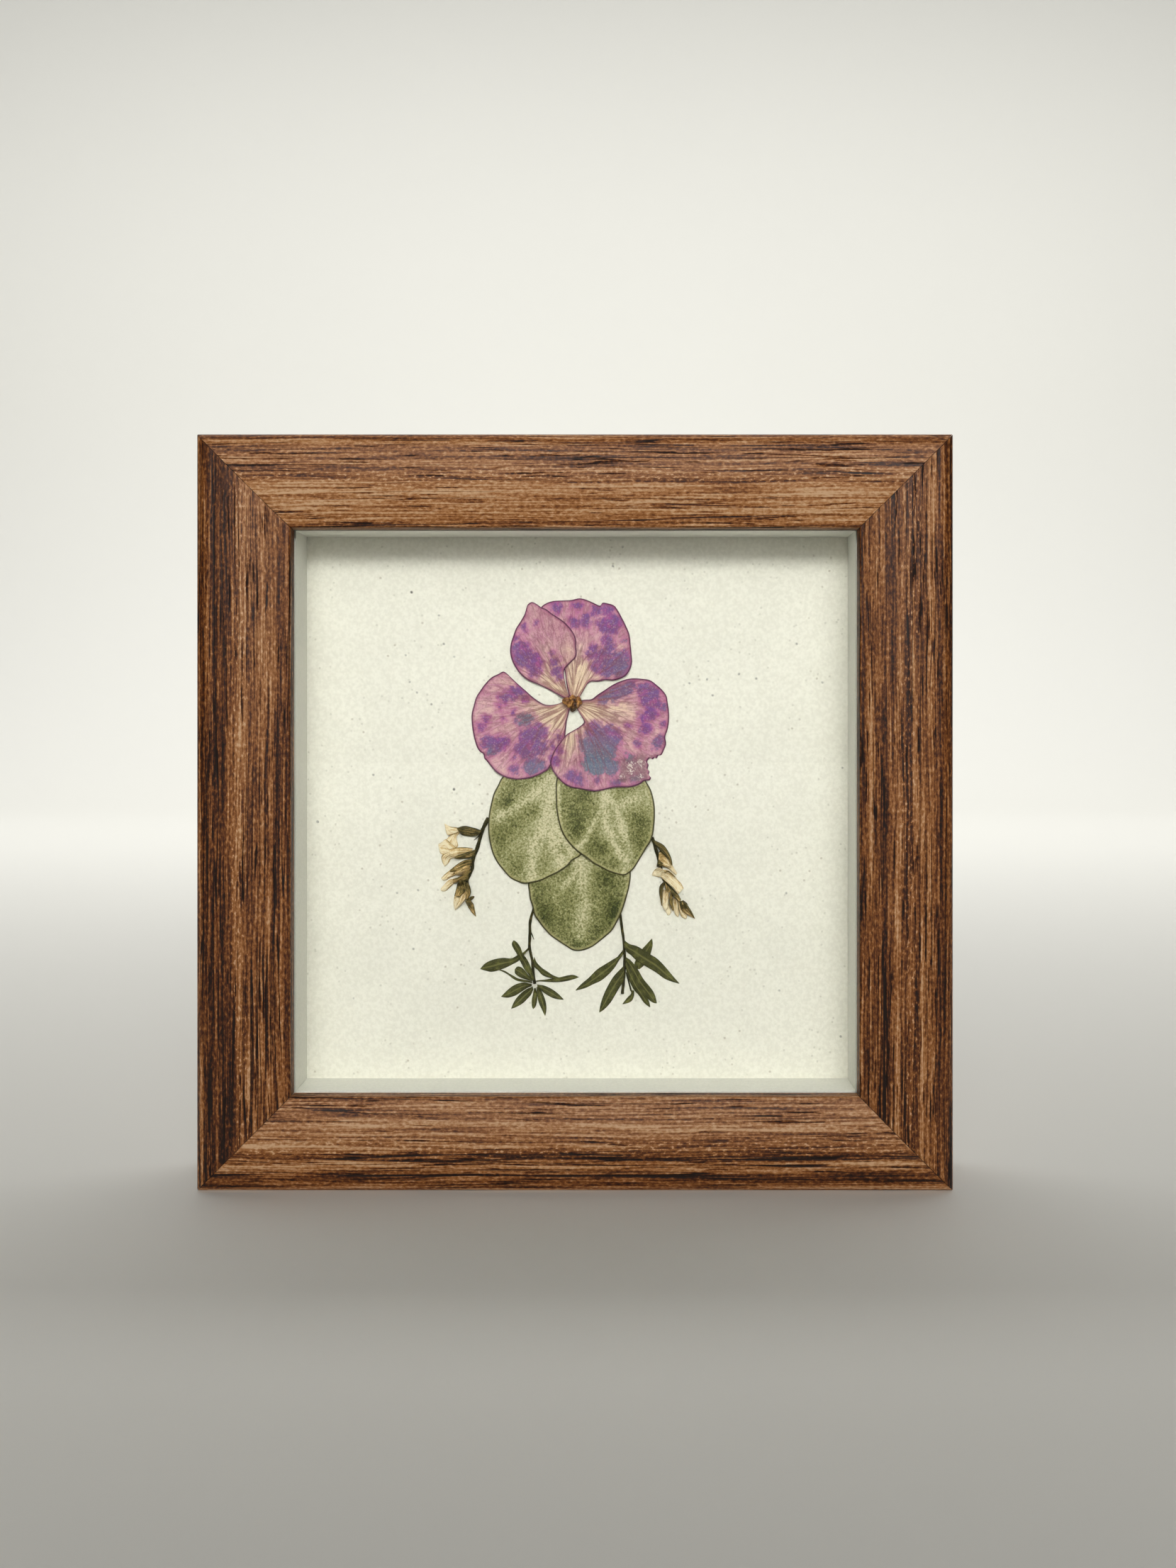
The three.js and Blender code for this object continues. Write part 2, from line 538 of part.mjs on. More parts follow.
function buildRightFoot() {
  stalk("foot_right_stalk", [
    [8.7, -19.4], [9.1, -21.6], [9.4, -24], [9.7, -26.4], [9.85, -29], [9.9, -31.4], [9.9, -34.6],
    [9.75, -36.4], [9.5, -38.2],
  ], 0.45, 14);
  leaflet("foot_right_leaf_1", [
    [[13, -33.1], [12.3, -33], [12.2, -31.6], [13, -30], [14, -28.4], [15, -27.2], [15.6, -26.85]],
    [[13.2, -33], [13.9, -32.4], [14.6, -31.2], [15.2, -30.2], [15.6, -29], [15.8, -27.8], [15.72, -26.9]],
  ]);
  leaflet("foot_right_leaf_2", [
    [[10.1, -27.3], [11, -28], [12.2, -28.4], [13.5, -28.9], [15.4, -30.2], [16.8, -31.2],
      [18, -32.3], [19.2, -33.6], [20.2, -35], [21.15, -35.95]],
    [[10.1, -28.4], [10.6, -29.4], [11.6, -30.6], [12.8, -31.6], [14.2, -32.4], [15.4, -33.2],
      [16.8, -34.2], [18.4, -35.1], [20, -35.8], [21.1, -36.05]],
  ], 1.2);
  leaflet("foot_right_leaf_3", [
    [[9.6, -29.5], [9, -30.2], [7.6, -31.2], [6, -32.2], [4.6, -33.4], [3.2, -34.6], [1.8, -35.8], [0, -37.3]],
    [[9.6, -30], [9.2, -30.7], [8.4, -31.8], [7.4, -33], [6.2, -34.3], [4.8, -35.5], [3.4, -36.5],
      [1.8, -37.1], [0.05, -37.4]],
  ]);
  leaflet("foot_right_leaf_4", [
    [[9.6, -32.6], [8.2, -34], [7.2, -35.4], [6.4, -37], [5.7, -38.6], [5.1, -40.2], [4.8, -41.8]],
    [[9.6, -34.8], [9.2, -35.8], [8.7, -36.8], [8, -38], [7, -39.6], [5.8, -41], [4.9, -41.9]],
  ]);
  leaflet("foot_right_leaf_5", [
    [[10.4, -34.6], [11, -36], [11.4, -37.4], [11.35, -38.1], [10.8, -38.6], [10.2, -39.4], [9.65, -40.15]],
    [[11, -34.6], [11.5, -36], [11.8, -37.2], [11.9, -38], [11.6, -39.2], [10.8, -40], [9.75, -40.25]],
  ], 0.9);
  leaflet("foot_right_leaf_6", [
    [[10.2, -31.1], [11.6, -31.9], [12.7, -33.2], [13.6, -34.6], [14.4, -36], [15.2, -37.4],
      [16.2, -38.8], [16.65, -40]],
    [[10.4, -33.6], [11.2, -34.8], [12, -36], [13, -37.4], [14, -38.6], [15.2, -39.8], [16.5, -40.1]],
  ], 0.9);
  leaflet("foot_right_leaf_7", [
    [[10.2, -32.2], [11.4, -33.6], [12.2, -35], [13.2, -36.6], [14.2, -38.2], [15.1, -39.6], [15.25, -40.7]],
    [[10.3, -34.4], [10.8, -35.4], [11.5, -36.5], [12.6, -38], [13.4, -39.2], [14.3, -40.2], [15.1, -40.85]],
  ], 1.2);
}

function buildLeftArm() {
  stalk("arm_left_stalk", [
    [-18.2, -1.9], [-18.9, -3.5], [-19.5, -5.1], [-20.2, -7.3], [-20.8, -9.2], [-21.4, -10.8],
    [-21.7, -12.6], [-22.3, -14.2], [-22.5, -15.8], [-22.4, -17.4], [-22.2, -18.8],
  ], 0.5, 16);
  floret("arm_left_floret_1", [
    [[-19.6, -4.4], [-20.6, -4.1], [-22, -3.8], [-23.3, -3.6], [-24.6, -3.8], [-25.8, -3.6], [-27.2, -3]],
    [[-19.7, -4.9], [-20.4, -5.4], [-21.6, -5.75], [-23.3, -5.5], [-24.1, -5.3], [-24.5, -6.2], [-24.3, -7.4]],
  ]);
  floret("arm_left_floret_2", [
    [[-20.4, -8], [-21.6, -7.95], [-22.9, -8], [-24.3, -7.7], [-25.4, -7], [-26.6, -6.2], [-27.6, -7],
      [-28.4, -7.2]],
    [[-20.9, -9.7], [-22, -10.2], [-23.6, -10.3], [-24.9, -10.4], [-26, -10.4], [-26.5, -11.3],
      [-27.2, -11.9], [-27.7, -10.4], [-28.2, -9.2]],
  ]);
  floret("arm_left_floret_3", [
    [[-21.4, -10.3], [-22.8, -10.5], [-24.2, -11.2], [-25.6, -12.2], [-26.6, -13.2], [-27.6, -14], [-27.8, -14.5]],
    [[-21.5, -12.2], [-22.6, -13.2], [-23.8, -13.9], [-25, -14.2], [-26, -14.5], [-26.9, -14.95], [-27.4, -14.9]],
  ]);
  floret("arm_left_floret_4", [
    [[-21.9, -13], [-23.2, -13.8], [-24.6, -14.3], [-26, -14.9], [-27, -15.7], [-27.7, -16.3], [-27.9, -16.7]],
    [[-22.4, -14.7], [-23.4, -14.6], [-24.4, -15.2], [-25.2, -15.8], [-26.2, -16.5], [-27, -17.1], [-27.5, -17.05]],
  ]);
  floret("arm_left_floret_5", [
    [[-24, -14.6], [-24.8, -15.3], [-25, -16.8], [-25.2, -18.4], [-25.3, -19.8], [-25.1, -20.8]],
    [[-22.5, -14.8], [-21.9, -15.8], [-21.5, -17], [-21.8, -18.3], [-23, -19.4], [-24, -20.2], [-24.9, -20.9]],
  ]);
  floret("arm_left_bud", [
    [[-22.7, -19], [-22.2, -20.2], [-21.4, -21.4], [-20.75, -22.25]],
    [[-21.3, -18.5], [-21.1, -19.6], [-20.9, -20.9], [-20.6, -22.2]],
  ]);
}

function buildRightArm() {
  stalk("arm_right_stalk", [
    [15.5, -5.9], [16, -7.2], [16.4, -8.8], [16.9, -10.6], [17.3, -12.4], [17.9, -14.6],
    [18.9, -16.2], [20.2, -17.6], [21.4, -18.9],
  ], 0.5, 14);
  floret("arm_right_floret_1", [
    [[16, -6.5], [17.3, -7.1], [18.3, -7.8], [19.1, -9.2], [19.7, -10.8], [19.8, -12.2], [20.5, -13], [21, -13.5]],
    [[16.3, -7.8], [16.8, -9.4], [17, -10.8], [17.3, -11.8], [18.2, -12.5], [19.2, -12.9], [20.1, -13.6],
      [20.6, -13.9]],
  ]);
  floret("arm_right_floret_2", [
    [[15.5, -13.6], [16.1, -12.8], [16.7, -12.1], [17.7, -12.2], [18.8, -12.7], [20, -13.6], [20.9, -15],
      [21.8, -16], [22.1, -16.7]],
    [[15.6, -13.8], [16.6, -13.9], [17.4, -14.1], [18, -14.9], [18.8, -15.6], [19.6, -16.2], [20.4, -17],
      [21.1, -17.7], [21.5, -17]],
  ], BLOOM_THICKNESS);
  floret("arm_right_floret_3", [
    [[17.9, -14.9], [17.2, -15.8], [17.1, -17], [17.3, -18.6], [17.6, -20], [18, -20.9], [18.5, -21.6], [18.8, -21.9]],
    [[18.9, -15.9], [19.4, -16.4], [19.8, -17.4], [19.5, -18.4], [19.2, -19.5], [19.1, -20.4], [19.4, -21.2],
      [19.3, -21.8]],
  ]);
  floret("arm_right_floret_4", [
    [[19.8, -16.8], [19.5, -18], [19.3, -19.3], [19.8, -20.7], [20.3, -21.6], [20.9, -22.1], [21.6, -22.2],
      [22.3, -22.8]],
    [[20.5, -17.2], [21.1, -18.1], [21.4, -19.2], [21.4, -20.3], [21.9, -21], [22.4, -21.5], [22.9, -22],
      [22.8, -22.7]],
  ]);
  floret("arm_right_bud", [
    [[21.3, -18.9], [21.4, -20], [22, -21], [22.9, -21.6], [23.8, -22.2], [24.4, -22.7]],
    [[21.9, -18.5], [22.7, -19.1], [23.3, -20], [23.9, -21], [24.2, -21.9], [24.55, -22.6]],
  ]);
}

function buildRoundLeaves() {
  const leaf = { thickness: LEAF_THICKNESS, steps: 30, rings: 3, reach: 3.6 };
  disc("leaf_lower", MATERIALS.leaf, [0.6, -17], [
    [-10, -14], [-9.9, -16.5], [-9.5, -18.6], [-8.8, -21.5], [-7, -24.2], [-4.8, -26.6], [-2, -28.5],
    [0.5, -29.3], [3.6, -28.4], [6.6, -25.8], [8.9, -22.4], [10.2, -18.2], [11.1, -14.4], [11.2, -10.8],
    [9.4, -7.2], [5.4, -4.8], [1.6, -4.2], [-2.4, -4.6], [-6.4, -6.6], [-9.1, -10.4],
  ], leaf);
  disc("leaf_left", MATERIALS.leaf, [-8, -3], [
    [-17.9, -3.5], [-17.5, 0.5], [-16.5, 4.2], [-14.3, 8], [-10.6, 10.3], [-6.4, 9.7], [-2.6, 6.5],
    [0.2, 1.4], [1.5, -4], [1.1, -9.2], [-0.3, -10.6], [-3.3, -13], [-7.2, -14.7], [-10.6, -15.5],
    [-13.6, -14.2], [-16.2, -11.2], [-17.6, -7],
  ], leaf);
  disc("leaf_right", MATERIALS.leaf, [6.4, -1.6], [
    [-4.1, 3.2], [-3.9, -0.8], [-2.8, -5], [-0.8, -7.7], [2.4, -10.2], [5.6, -12.6], [8.4, -13.7],
    [10.3, -13.9], [12.4, -11.5], [14.8, -8.2], [16, -4.8], [16.3, -0.8], [15.6, 2.8], [13.6, 6.4],
    [10, 9.6], [5, 10.8], [0, 9.9], [-3, 7.2],
  ], leaf);
}

function buildFlower() {
  const petal = { thickness: PETAL_THICKNESS, steps: 40, rings: 3, reach: 3.4 };
  disc("petal_left", MATERIALS.petal, [-11, 16.5], [
    [-1.9, 22.2], [-4, 21.4], [-7, 21.8], [-9.6, 23.3], [-12.3, 25.6], [-14.5, 27.8], [-15.1, 28.2],
    [-17.6, 27.1], [-19.7, 25], [-20.9, 22.2], [-21.4, 18.5], [-21, 14.5], [-19.8, 11.5], [-18.9, 10.2],
    [-16.6, 7.4], [-14, 6.15], [-10.5, 6.1], [-7.2, 7], [-5, 8.4], [-3.4, 10.6], [-2.4, 13.5],
    [-1.9, 17], [-1.3, 20.2],
  ], petal);
  disc("petal_right", MATERIALS.petal, [8, 14.5], [
    [0.7, 21.7], [3.5, 22.7], [6.8, 24.8], [10, 26.4], [13.2, 26.6], [16.4, 25.4], [18.5, 23], [18.9, 20.4],
    [19.2, 18], [18.7, 15.5], [18.5, 13.4], [17.3, 11], [15.6, 10.4], [14.8, 9.2], [15.1, 7.2],
    [15, 5.9], [12.6, 4.9], [8.4, 4.6], [4.4, 3.6], [0.4, 4.2], [-2.3, 5.3], [-4.3, 7.2], [-5.3, 9.8],
    [-3.9, 12.3], [-2.2, 14.7], [0.2, 16.2], [1.9, 17.3], [0.9, 19.4], [0.3, 21],
  ], petal);
  disc("petal_top_right", MATERIALS.petal, [3.4, 34], [
    [-1.1, 23.2], [-1.9, 25], [-2.5, 28.5], [-4.2, 34], [-5.8, 38], [-7.1, 41.2], [-5, 42.6], [-2, 42.8],
    [0.6, 43.3], [3.2, 42.6], [4.9, 41.9], [5.8, 42.3], [7.9, 41.7], [9.4, 39.7], [10.7, 37], [11.3, 33.5],
    [11.5, 30], [10.5, 27.6], [8.3, 26.3], [5, 26.3], [2.9, 26.1], [1.6, 24.5], [0.5, 23.1],
  ], petal);
  disc("petal_top_left", MATERIALS.petal, [-6.8, 33.5], [
    [-2.1, 22.9], [-5, 24], [-7, 25], [-9.5, 26.1], [-12.3, 28.7], [-13.5, 31.8], [-13.4, 34.8],
    [-12.3, 37.4], [-11, 39.3], [-10.2, 41.6], [-9.1, 42.5], [-7.4, 41.6], [-4.5, 39.8], [-2.2, 38.2],
    [-0.4, 36.2], [0, 33.2], [-0.1, 31.4], [-2.6, 28.3], [-2.4, 26.5], [-1.6, 23.4],
  ], petal);
  const lumps = [
    [-1.8, 22.1, 0.95], [-0.3, 22, 1.05], [-0.4, 20.7, 0.75], [0.5, 22.4, 0.6],
  ];
  const base = highestWithin(-0.6, 22, 3) + PRESSED_GAP;
  const flatness = 0.7;
  const lift = Math.max(...lumps.map(([, , radius]) => radius)) * flatness;
  let heart;
  for (const [u, v, radius] of lumps) {
    const [x, z] = onCard([u, v]);
    const lump = new THREE.IcosahedronGeometry(radius, 1).scale(1, flatness, 1);
    const solid = solidOf(lump.translate(x, CARD_Y - base - lift, z));
    heart = heart ? heart.add(solid) : solid;
  }
  add("flower_heart", geometryOf(heart), MATERIALS.heart);
}

buildRails();
buildLayers();
buildButtons();
buildHanger();
buildLeftFoot();
buildRightFoot();
buildLeftArm();
buildRightArm();
buildRoundLeaves();
buildFlower();

export default root;
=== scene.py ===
"""Looks of a pressed-flower picture in a square box frame.

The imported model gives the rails, glass, card and hardware their places. This script gives every
surface its finish and makes the pressed plants as fine surfaces in place of their plain solids.
Shapes are worked out in millimetres. Plant outlines are (right, up) on the card, from the middle
of the frame.
"""
import math

import bpy
import numpy as np
from bpy.props import FloatProperty, FloatVectorProperty, IntProperty, PointerProperty
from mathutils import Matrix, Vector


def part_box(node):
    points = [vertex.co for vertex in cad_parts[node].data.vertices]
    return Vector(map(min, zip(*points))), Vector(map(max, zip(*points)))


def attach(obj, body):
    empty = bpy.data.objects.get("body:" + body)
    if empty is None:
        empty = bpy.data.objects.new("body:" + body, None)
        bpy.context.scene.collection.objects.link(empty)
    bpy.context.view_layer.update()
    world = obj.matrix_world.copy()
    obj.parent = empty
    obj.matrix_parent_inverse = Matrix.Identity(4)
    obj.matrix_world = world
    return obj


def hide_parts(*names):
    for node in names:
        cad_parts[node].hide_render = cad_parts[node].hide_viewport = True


bl_info = {
    "name": "Pressed Flower Frame",
    "version": (1, 0, 0),
    "blender": (4, 5, 0),
    "location": "3D View > Sidebar > Pressed Frame",
    "description": "Builds the finishes and pressed plants of a small box frame",
    "category": "Object",
}

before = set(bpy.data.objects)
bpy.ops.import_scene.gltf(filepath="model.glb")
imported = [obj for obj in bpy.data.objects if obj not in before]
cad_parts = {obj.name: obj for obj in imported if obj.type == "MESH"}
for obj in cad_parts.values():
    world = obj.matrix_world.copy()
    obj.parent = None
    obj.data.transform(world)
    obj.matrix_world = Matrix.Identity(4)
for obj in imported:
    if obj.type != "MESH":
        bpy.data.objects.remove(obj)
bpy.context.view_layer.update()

MM = 0.001
BODY = "frame"


def edge(node, axis, side):
    """Lowest (0) or highest (1) place of a node along an axis, in mm."""
    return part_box(node)[side][axis] / MM


RAIL_OUTER = edge("rail_bottom", 2, 0)
FRAME_SIDE = edge("rail_top", 2, 1) - RAIL_OUTER
HALF = FRAME_SIDE / 2
MIDDLE = RAIL_OUTER + HALF
RAIL_WIDTH = edge("rail_bottom", 2, 1) - RAIL_OUTER
RAIL_FRONT = edge("rail_bottom", 1, 0)
RAIL_BACK = edge("rail_bottom", 1, 1)
CARD_FACE = edge("card", 1, 0)
MITRE_GAP = FRAME_SIDE - (edge("rail_bottom", 0, 1) - edge("rail_bottom", 0, 0))


def linear(code):
    """A six-digit sRGB colour as linear red, green, blue."""
    parts = [int(code[k : k + 2], 16) / 255 for k in (0, 2, 4)]
    return tuple(p / 12.92 if p <= 0.04045 else ((p + 0.055) / 1.055) ** 2.4 for p in parts)


def colour_prop(name, words, code):
    return FloatVectorProperty(
        name=name, description=words, default=linear(code), subtype="COLOR", size=3, min=0, max=1
    )


def size_prop(name, words, value):
    return FloatProperty(name=name, description=words, default=value * MM, unit="LENGTH", min=0)


# Sizes and colours that a user would change


class MouldingSettings(bpy.types.PropertyGroup):
    shoulder: size_prop("Shoulder", "Width of the rounded outer edge", 3.6)
    shoulder_drop: size_prop("Shoulder drop", "Fall of the rounded outer edge", 2.3)
    crown_at: size_prop("Crown", "Outer edge to the highest line", 8)
    crown_rise: size_prop("Crown rise", "Shoulder to the highest line", 0.3)
    slope_drop: size_prop("Slope drop", "Fall from the crown to the inner edge", 2.1)
    nose: size_prop("Nose", "Rounding of the inner edge", 0.5)
    lip: size_prop("Lip", "Nose to the face on the glass", 2.9)
    rabbet: size_prop("Rabbet", "How far the lip stands over the glass", 4.7)
    pore: colour_prop("Pores", "Fine dark lines of the film", "1e0d04")
    dark: colour_prop("Dark grain", "Brown streaks of the film", "54290d")
    ground: colour_prop("Ground", "Wood-look film between the streaks", "8f5627")
    light: colour_prop("Light grain", "Orange streaks of the film", "be8450")
    pale: colour_prop("Pale grain", "Palest streaks and sparkle", "e0b68c")


class PaperSettings(bpy.types.PropertyGroup):
    card: colour_prop("Card", "Face of the card", "f3f0e3")
    liner: colour_prop("Liner", "Strips round the card", "e2e1d8")
    panel: colour_prop("Back panel", "Hardboard", "8a6442")
    steel: colour_prop("Fittings", "Plated steel", "b4afa2")
    brass: colour_prop("Hanger", "Brass-plated steel", "b79a5c")


class PlantSettings(bpy.types.PropertyGroup):
    petal: colour_prop("Petal", "Ground of the petals", "bd8098")
    petal_pale: colour_prop("Petal, pale", "Faded parts of the petals", "d7aeb1")
    claw: colour_prop("Claw", "Cream foot of each petal", "e9d3b2")
    blotch: colour_prop("Blotch", "Violet blotches", "70438a")
    halo: colour_prop("Halo", "Edge of the blotches", "b04d8a")
    slate: colour_prop("Slate", "Bluish blotches", "557384")
    vein: colour_prop("Vein", "Veins near the heart", "a0662f")
    leaf_dark: colour_prop("Leaf, dark", "Dark parts of the round leaves", "525426")
    leaf_green: colour_prop("Leaf", "Ground of the round leaves", "83824e")
    leaf_pale: colour_prop("Leaf, pale", "Veins and pale parts of the leaves", "d2cba6")
    leaflet: colour_prop("Leaflet", "Small dark leaves of the feet", "4f4f27")
    stalk: colour_prop("Stalk", "Thin stalks", "3a3518")
    thickness: size_prop("Petal thickness", "Dried petals", 0.16)
    leaf_thickness: size_prop("Leaf thickness", "Dried round leaves", 0.26)


class StageSettings(bpy.types.PropertyGroup):
    floor: colour_prop("Floor", "Pale studio floor", "ecebe4")
    key_power: FloatProperty(name="Key light", description="Power in watts", default=0.68, min=0)
    wall_power: FloatProperty(
        name="Wall light", description="Power in watts on the wall behind", default=26, min=0
    )
    room_power: FloatProperty(
        name="Room light", description="Power in watts on the floor far in front", default=16, min=0
    )
    world: FloatProperty(name="World", description="Light from the pale surroundings", default=0.03)
    room: FloatProperty(name="Room", description="Brightness of the room seen behind", default=0.7)
    key_height: FloatProperty(
        name="Key height", description="Angle of the key light above level",
        default=math.radians(23), subtype="ANGLE",
    )
    camera_away: size_prop("Camera distance", "Camera to the inner edge of the moulding", 280)
    focal_pixels: IntProperty(
        name="Focal length", description="In pixels of the 1659 by 2212 frame", default=1990
    )


SETTINGS = {
    "pressed_moulding": MouldingSettings,
    "pressed_paper": PaperSettings,
    "pressed_plants": PlantSettings,
    "pressed_stage": StageSettings,
}


# Shader maths


def rgba(colour):
    """Six sRGB digits, or linear red, green and blue, as the four numbers of a socket."""
    return (*(linear(colour) if isinstance(colour, str) else colour), 1)


def times(colour, share):
    """A colour made darker or brighter."""
    return tuple(part * share for part in colour)


class Wire:
    """A shader socket. Arithmetic on it adds Math nodes, and clamp() holds it in 0 to 1."""

    def __init__(self, finish, socket):
        self.finish = finish
        self.socket = socket

    def maths(self, operation, *values):
        return self.finish.node("ShaderNodeMath", {"operation": operation}, dict(enumerate(values)))

    def __add__(self, other):
        return self.maths("ADD", self, other)

    def __radd__(self, other):
        return self.maths("ADD", other, self)

    def __sub__(self, other):
        return self.maths("SUBTRACT", self, other)

    def __rsub__(self, other):
        return self.maths("SUBTRACT", other, self)

    def __mul__(self, other):
        return self.maths("MULTIPLY", self, other)

    def __abs__(self):
        return self.maths("ABSOLUTE", self)

    def __pow__(self, other):
        return self.maths("POWER", self, other)

    def clamp(self):
        held = self.maths("ADD", self, 0)
        held.socket.node.use_clamp = True
        return held


class Finish:
    """One material. node() adds any node; the other methods are the few that this object needs."""

    def __init__(self, name):
        self.material = bpy.data.materials.new(name)
        self.material.use_nodes = True
        self.tree = self.material.node_tree
        self.tree.nodes.clear()

    def node(self, kind, settings=None, values=None, output=0):
        """Adds a node of a type, with its settings first and then its sockets' values or links."""
        made = self.tree.nodes.new(kind)
        for key, value in (settings or {}).items():
            setattr(made, key, value)
        for key, value in (values or {}).items():
            socket = made.inputs[key]
            if isinstance(value, Wire):
                self.tree.links.new(value.socket, socket)
            else:
                socket.default_value = rgba(value) if socket.type == "RGBA" else value
        return Wire(self, made.outputs[output])

    def object_place(self):
        """Object coordinates, in metres from the frame's origin."""
        return self.node("ShaderNodeTexCoord", output="Object")

    def attribute(self, name):
        return self.node("ShaderNodeAttribute", {"attribute_name": name}, output="Fac")

    def split(self, vector):
        first = self.node("ShaderNodeSeparateXYZ", values={0: vector})
        return [Wire(self, socket) for socket in first.socket.node.outputs]

    def join(self, x, y, z=0.0):
        return self.node("ShaderNodeCombineXYZ", values={0: x, 1: y, 2: z})

    def stretch(self, vector, scale):
        return self.node("ShaderNodeMapping", values={"Vector": vector, "Scale": scale})

    def noise(self, vector, scale, detail=3, roughness=0.5, distortion=0.0):
        values = {
            "Vector": vector, "Scale": scale, "Detail": detail,
            "Roughness": roughness, "Distortion": distortion,
        }
        return self.node("ShaderNodeTexNoise", values=values)

    def cells(self, vector, scale):
        """Distance to scattered points of the X and Y of a vector, in units of their spacing."""
        values = {"Vector": vector, "Scale": scale}
        return self.node("ShaderNodeTexVoronoi", {"voronoi_dimensions": "2D"}, values, "Distance")

    def step(self, value, low, high):
        """0 below low, 1 above high, and a smooth rise between them; low may be above high."""
        values = {"Value": value, "From Min": low, "From Max": high}
        if low > high:
            values.update({"From Min": high, "From Max": low, "To Min": 1.0, "To Max": 0.0})
        return self.node("ShaderNodeMapRange", {"interpolation_type": "SMOOTHSTEP"}, values)

    def mix(self, share, one, other, blend="MIX"):
        settings = {"data_type": "RGBA", "blend_type": blend, "clamp_factor": True}
        return self.node("ShaderNodeMix", settings, {0: share, 6: one, 7: other}, 2)

    def coats(self, base, *coats):
        """Lays colours over a base in turn: (value, low, high, share above high, colour)."""
        for value, low, high, share, colour in coats:
            base = self.mix(self.step(value, low, high) * share, base, colour)
        return base

    def ramp(self, value, *stops):
        """Colours along a value, as stops (place, colour)."""
        made = self.node("ShaderNodeValToRGB", values={"Fac": value})
        elements = made.socket.node.color_ramp.elements
        while len(elements) < len(stops):
            elements.new(0.5)
        for element, (place, colour) in zip(elements, stops):
            element.position = place
            element.color = rgba(colour)
        return made

    def bump(self, height, depth, strength):
        """height 0 to 1, and depth in mm."""
        values = {"Height": height, "Distance": depth * MM, "Strength": strength}
        return self.node("ShaderNodeBump", values=values)

    def surface(self, base, roughness, normal=None, metallic=0.0, **more):
        """Ends the material in a Principled shader; more holds sockets by name."""
        values = {"Base Color": base, "Roughness": roughness, "Metallic": metallic}
        values.update({key.replace("_", " "): value for key, value in more.items()})
        if normal:
            values["Normal"] = normal
        return self.show(self.node("ShaderNodeBsdfPrincipled", values=values))

    def show(self, shader):
        output = self.tree.nodes.new("ShaderNodeOutputMaterial")
        self.tree.links.new(shader.socket, output.inputs["Surface"])
        return self.material


# Surfaces as arrays


def full_turn(count):
    """Even angles round a circle, the last one short of the first."""
    return np.linspace(0, 2 * np.pi, count, endpoint=False)


def length_along(points, power=1):
    """For each point of a path the sum of its steps so far, each step to a power."""
    steps = np.linalg.norm(np.diff(points, axis=0), axis=1)
    return np.concatenate([[0], np.cumsum(steps**power)])


def smooth_path(points, samples, closed=False):
    """Centripetal Catmull-Rom curve through the points, resampled at even steps of its length."""
    p = np.asarray(points, float)
    if closed:
        p = np.vstack([p[-1], p, p[0], p[1]])
    else:
        p = np.vstack([2 * p[0] - p[1], p, 2 * p[-1] - p[-2]])
    knots = length_along(p, 0.5)
    a, b, c, d = (p[k : len(p) - 3 + k, None] for k in range(4))
    ta, tb, tc, td = (knots[k : len(p) - 3 + k, None, None] for k in range(4))
    t = tb + (tc - tb) * np.linspace(0, 1, 24, endpoint=False)[None, :, None]
    ab = ((tb - t) * a + (t - ta) * b) / (tb - ta)
    bc = ((tc - t) * b + (t - tb) * c) / (tc - tb)
    cd = ((td - t) * c + (t - tc) * d) / (td - tc)
    abc = ((tc - t) * ab + (t - ta) * bc) / (tc - ta)
    bcd = ((td - t) * bc + (t - tb) * cd) / (td - tb)
    dense = (((tc - t) * abc + (t - tb) * bcd) / (tc - tb)).reshape(-1, p.shape[1])
    dense = np.vstack([dense, p[-2]])
    gone = length_along(dense)
    wanted = np.linspace(0, gone[-1], samples, endpoint=not closed)
    return np.column_stack([np.interp(wanted, gone, dense[:, k]) for k in range(p.shape[1])])


def ripple(u, v, seed, size, count=8):
    """Sum of plane sine waves in seeded directions, about -1 to 1; size is their length in mm."""
    draw = np.random.default_rng(seed)
    turn = draw.uniform(0, 2 * np.pi, count)
    pitch = size * draw.uniform(0.6, 1.7, count)
    phase = draw.uniform(0, 2 * np.pi, count)
    total = np.zeros(np.shape(u))
    for k in range(count):
        along = u * np.cos(turn[k]) + v * np.sin(turn[k])
        total += np.sin(along * 2 * np.pi / pitch[k] + phase[k])
    return total / math.sqrt(count * 1.4)


def ease(value, low, high):
    """Smoothstep: 3t^2 - 2t^3 of the share of value between low and high."""
    t = np.clip((value - low) / (high - low), 0, 1)
    return t * t * (3 - 2 * t)


def bell(distance, width):
    """1 at no distance, falling off as exp(-(distance / width)^2)."""
    return np.exp(-((distance / width) ** 2))


def grid_quads(rows, columns, ring):
    """Quads of a grid whose columns close on themselves, and its rows too if it is a ring."""
    i, j = np.meshgrid(np.arange(rows if ring else rows - 1), np.arange(columns), indexing="ij")
    h, k = (i + 1) % rows, (j + 1) % columns
    corners = [i * columns + j, h * columns + j, h * columns + k, i * columns + k]
    return np.stack(corners, axis=-1).reshape(-1, 4)


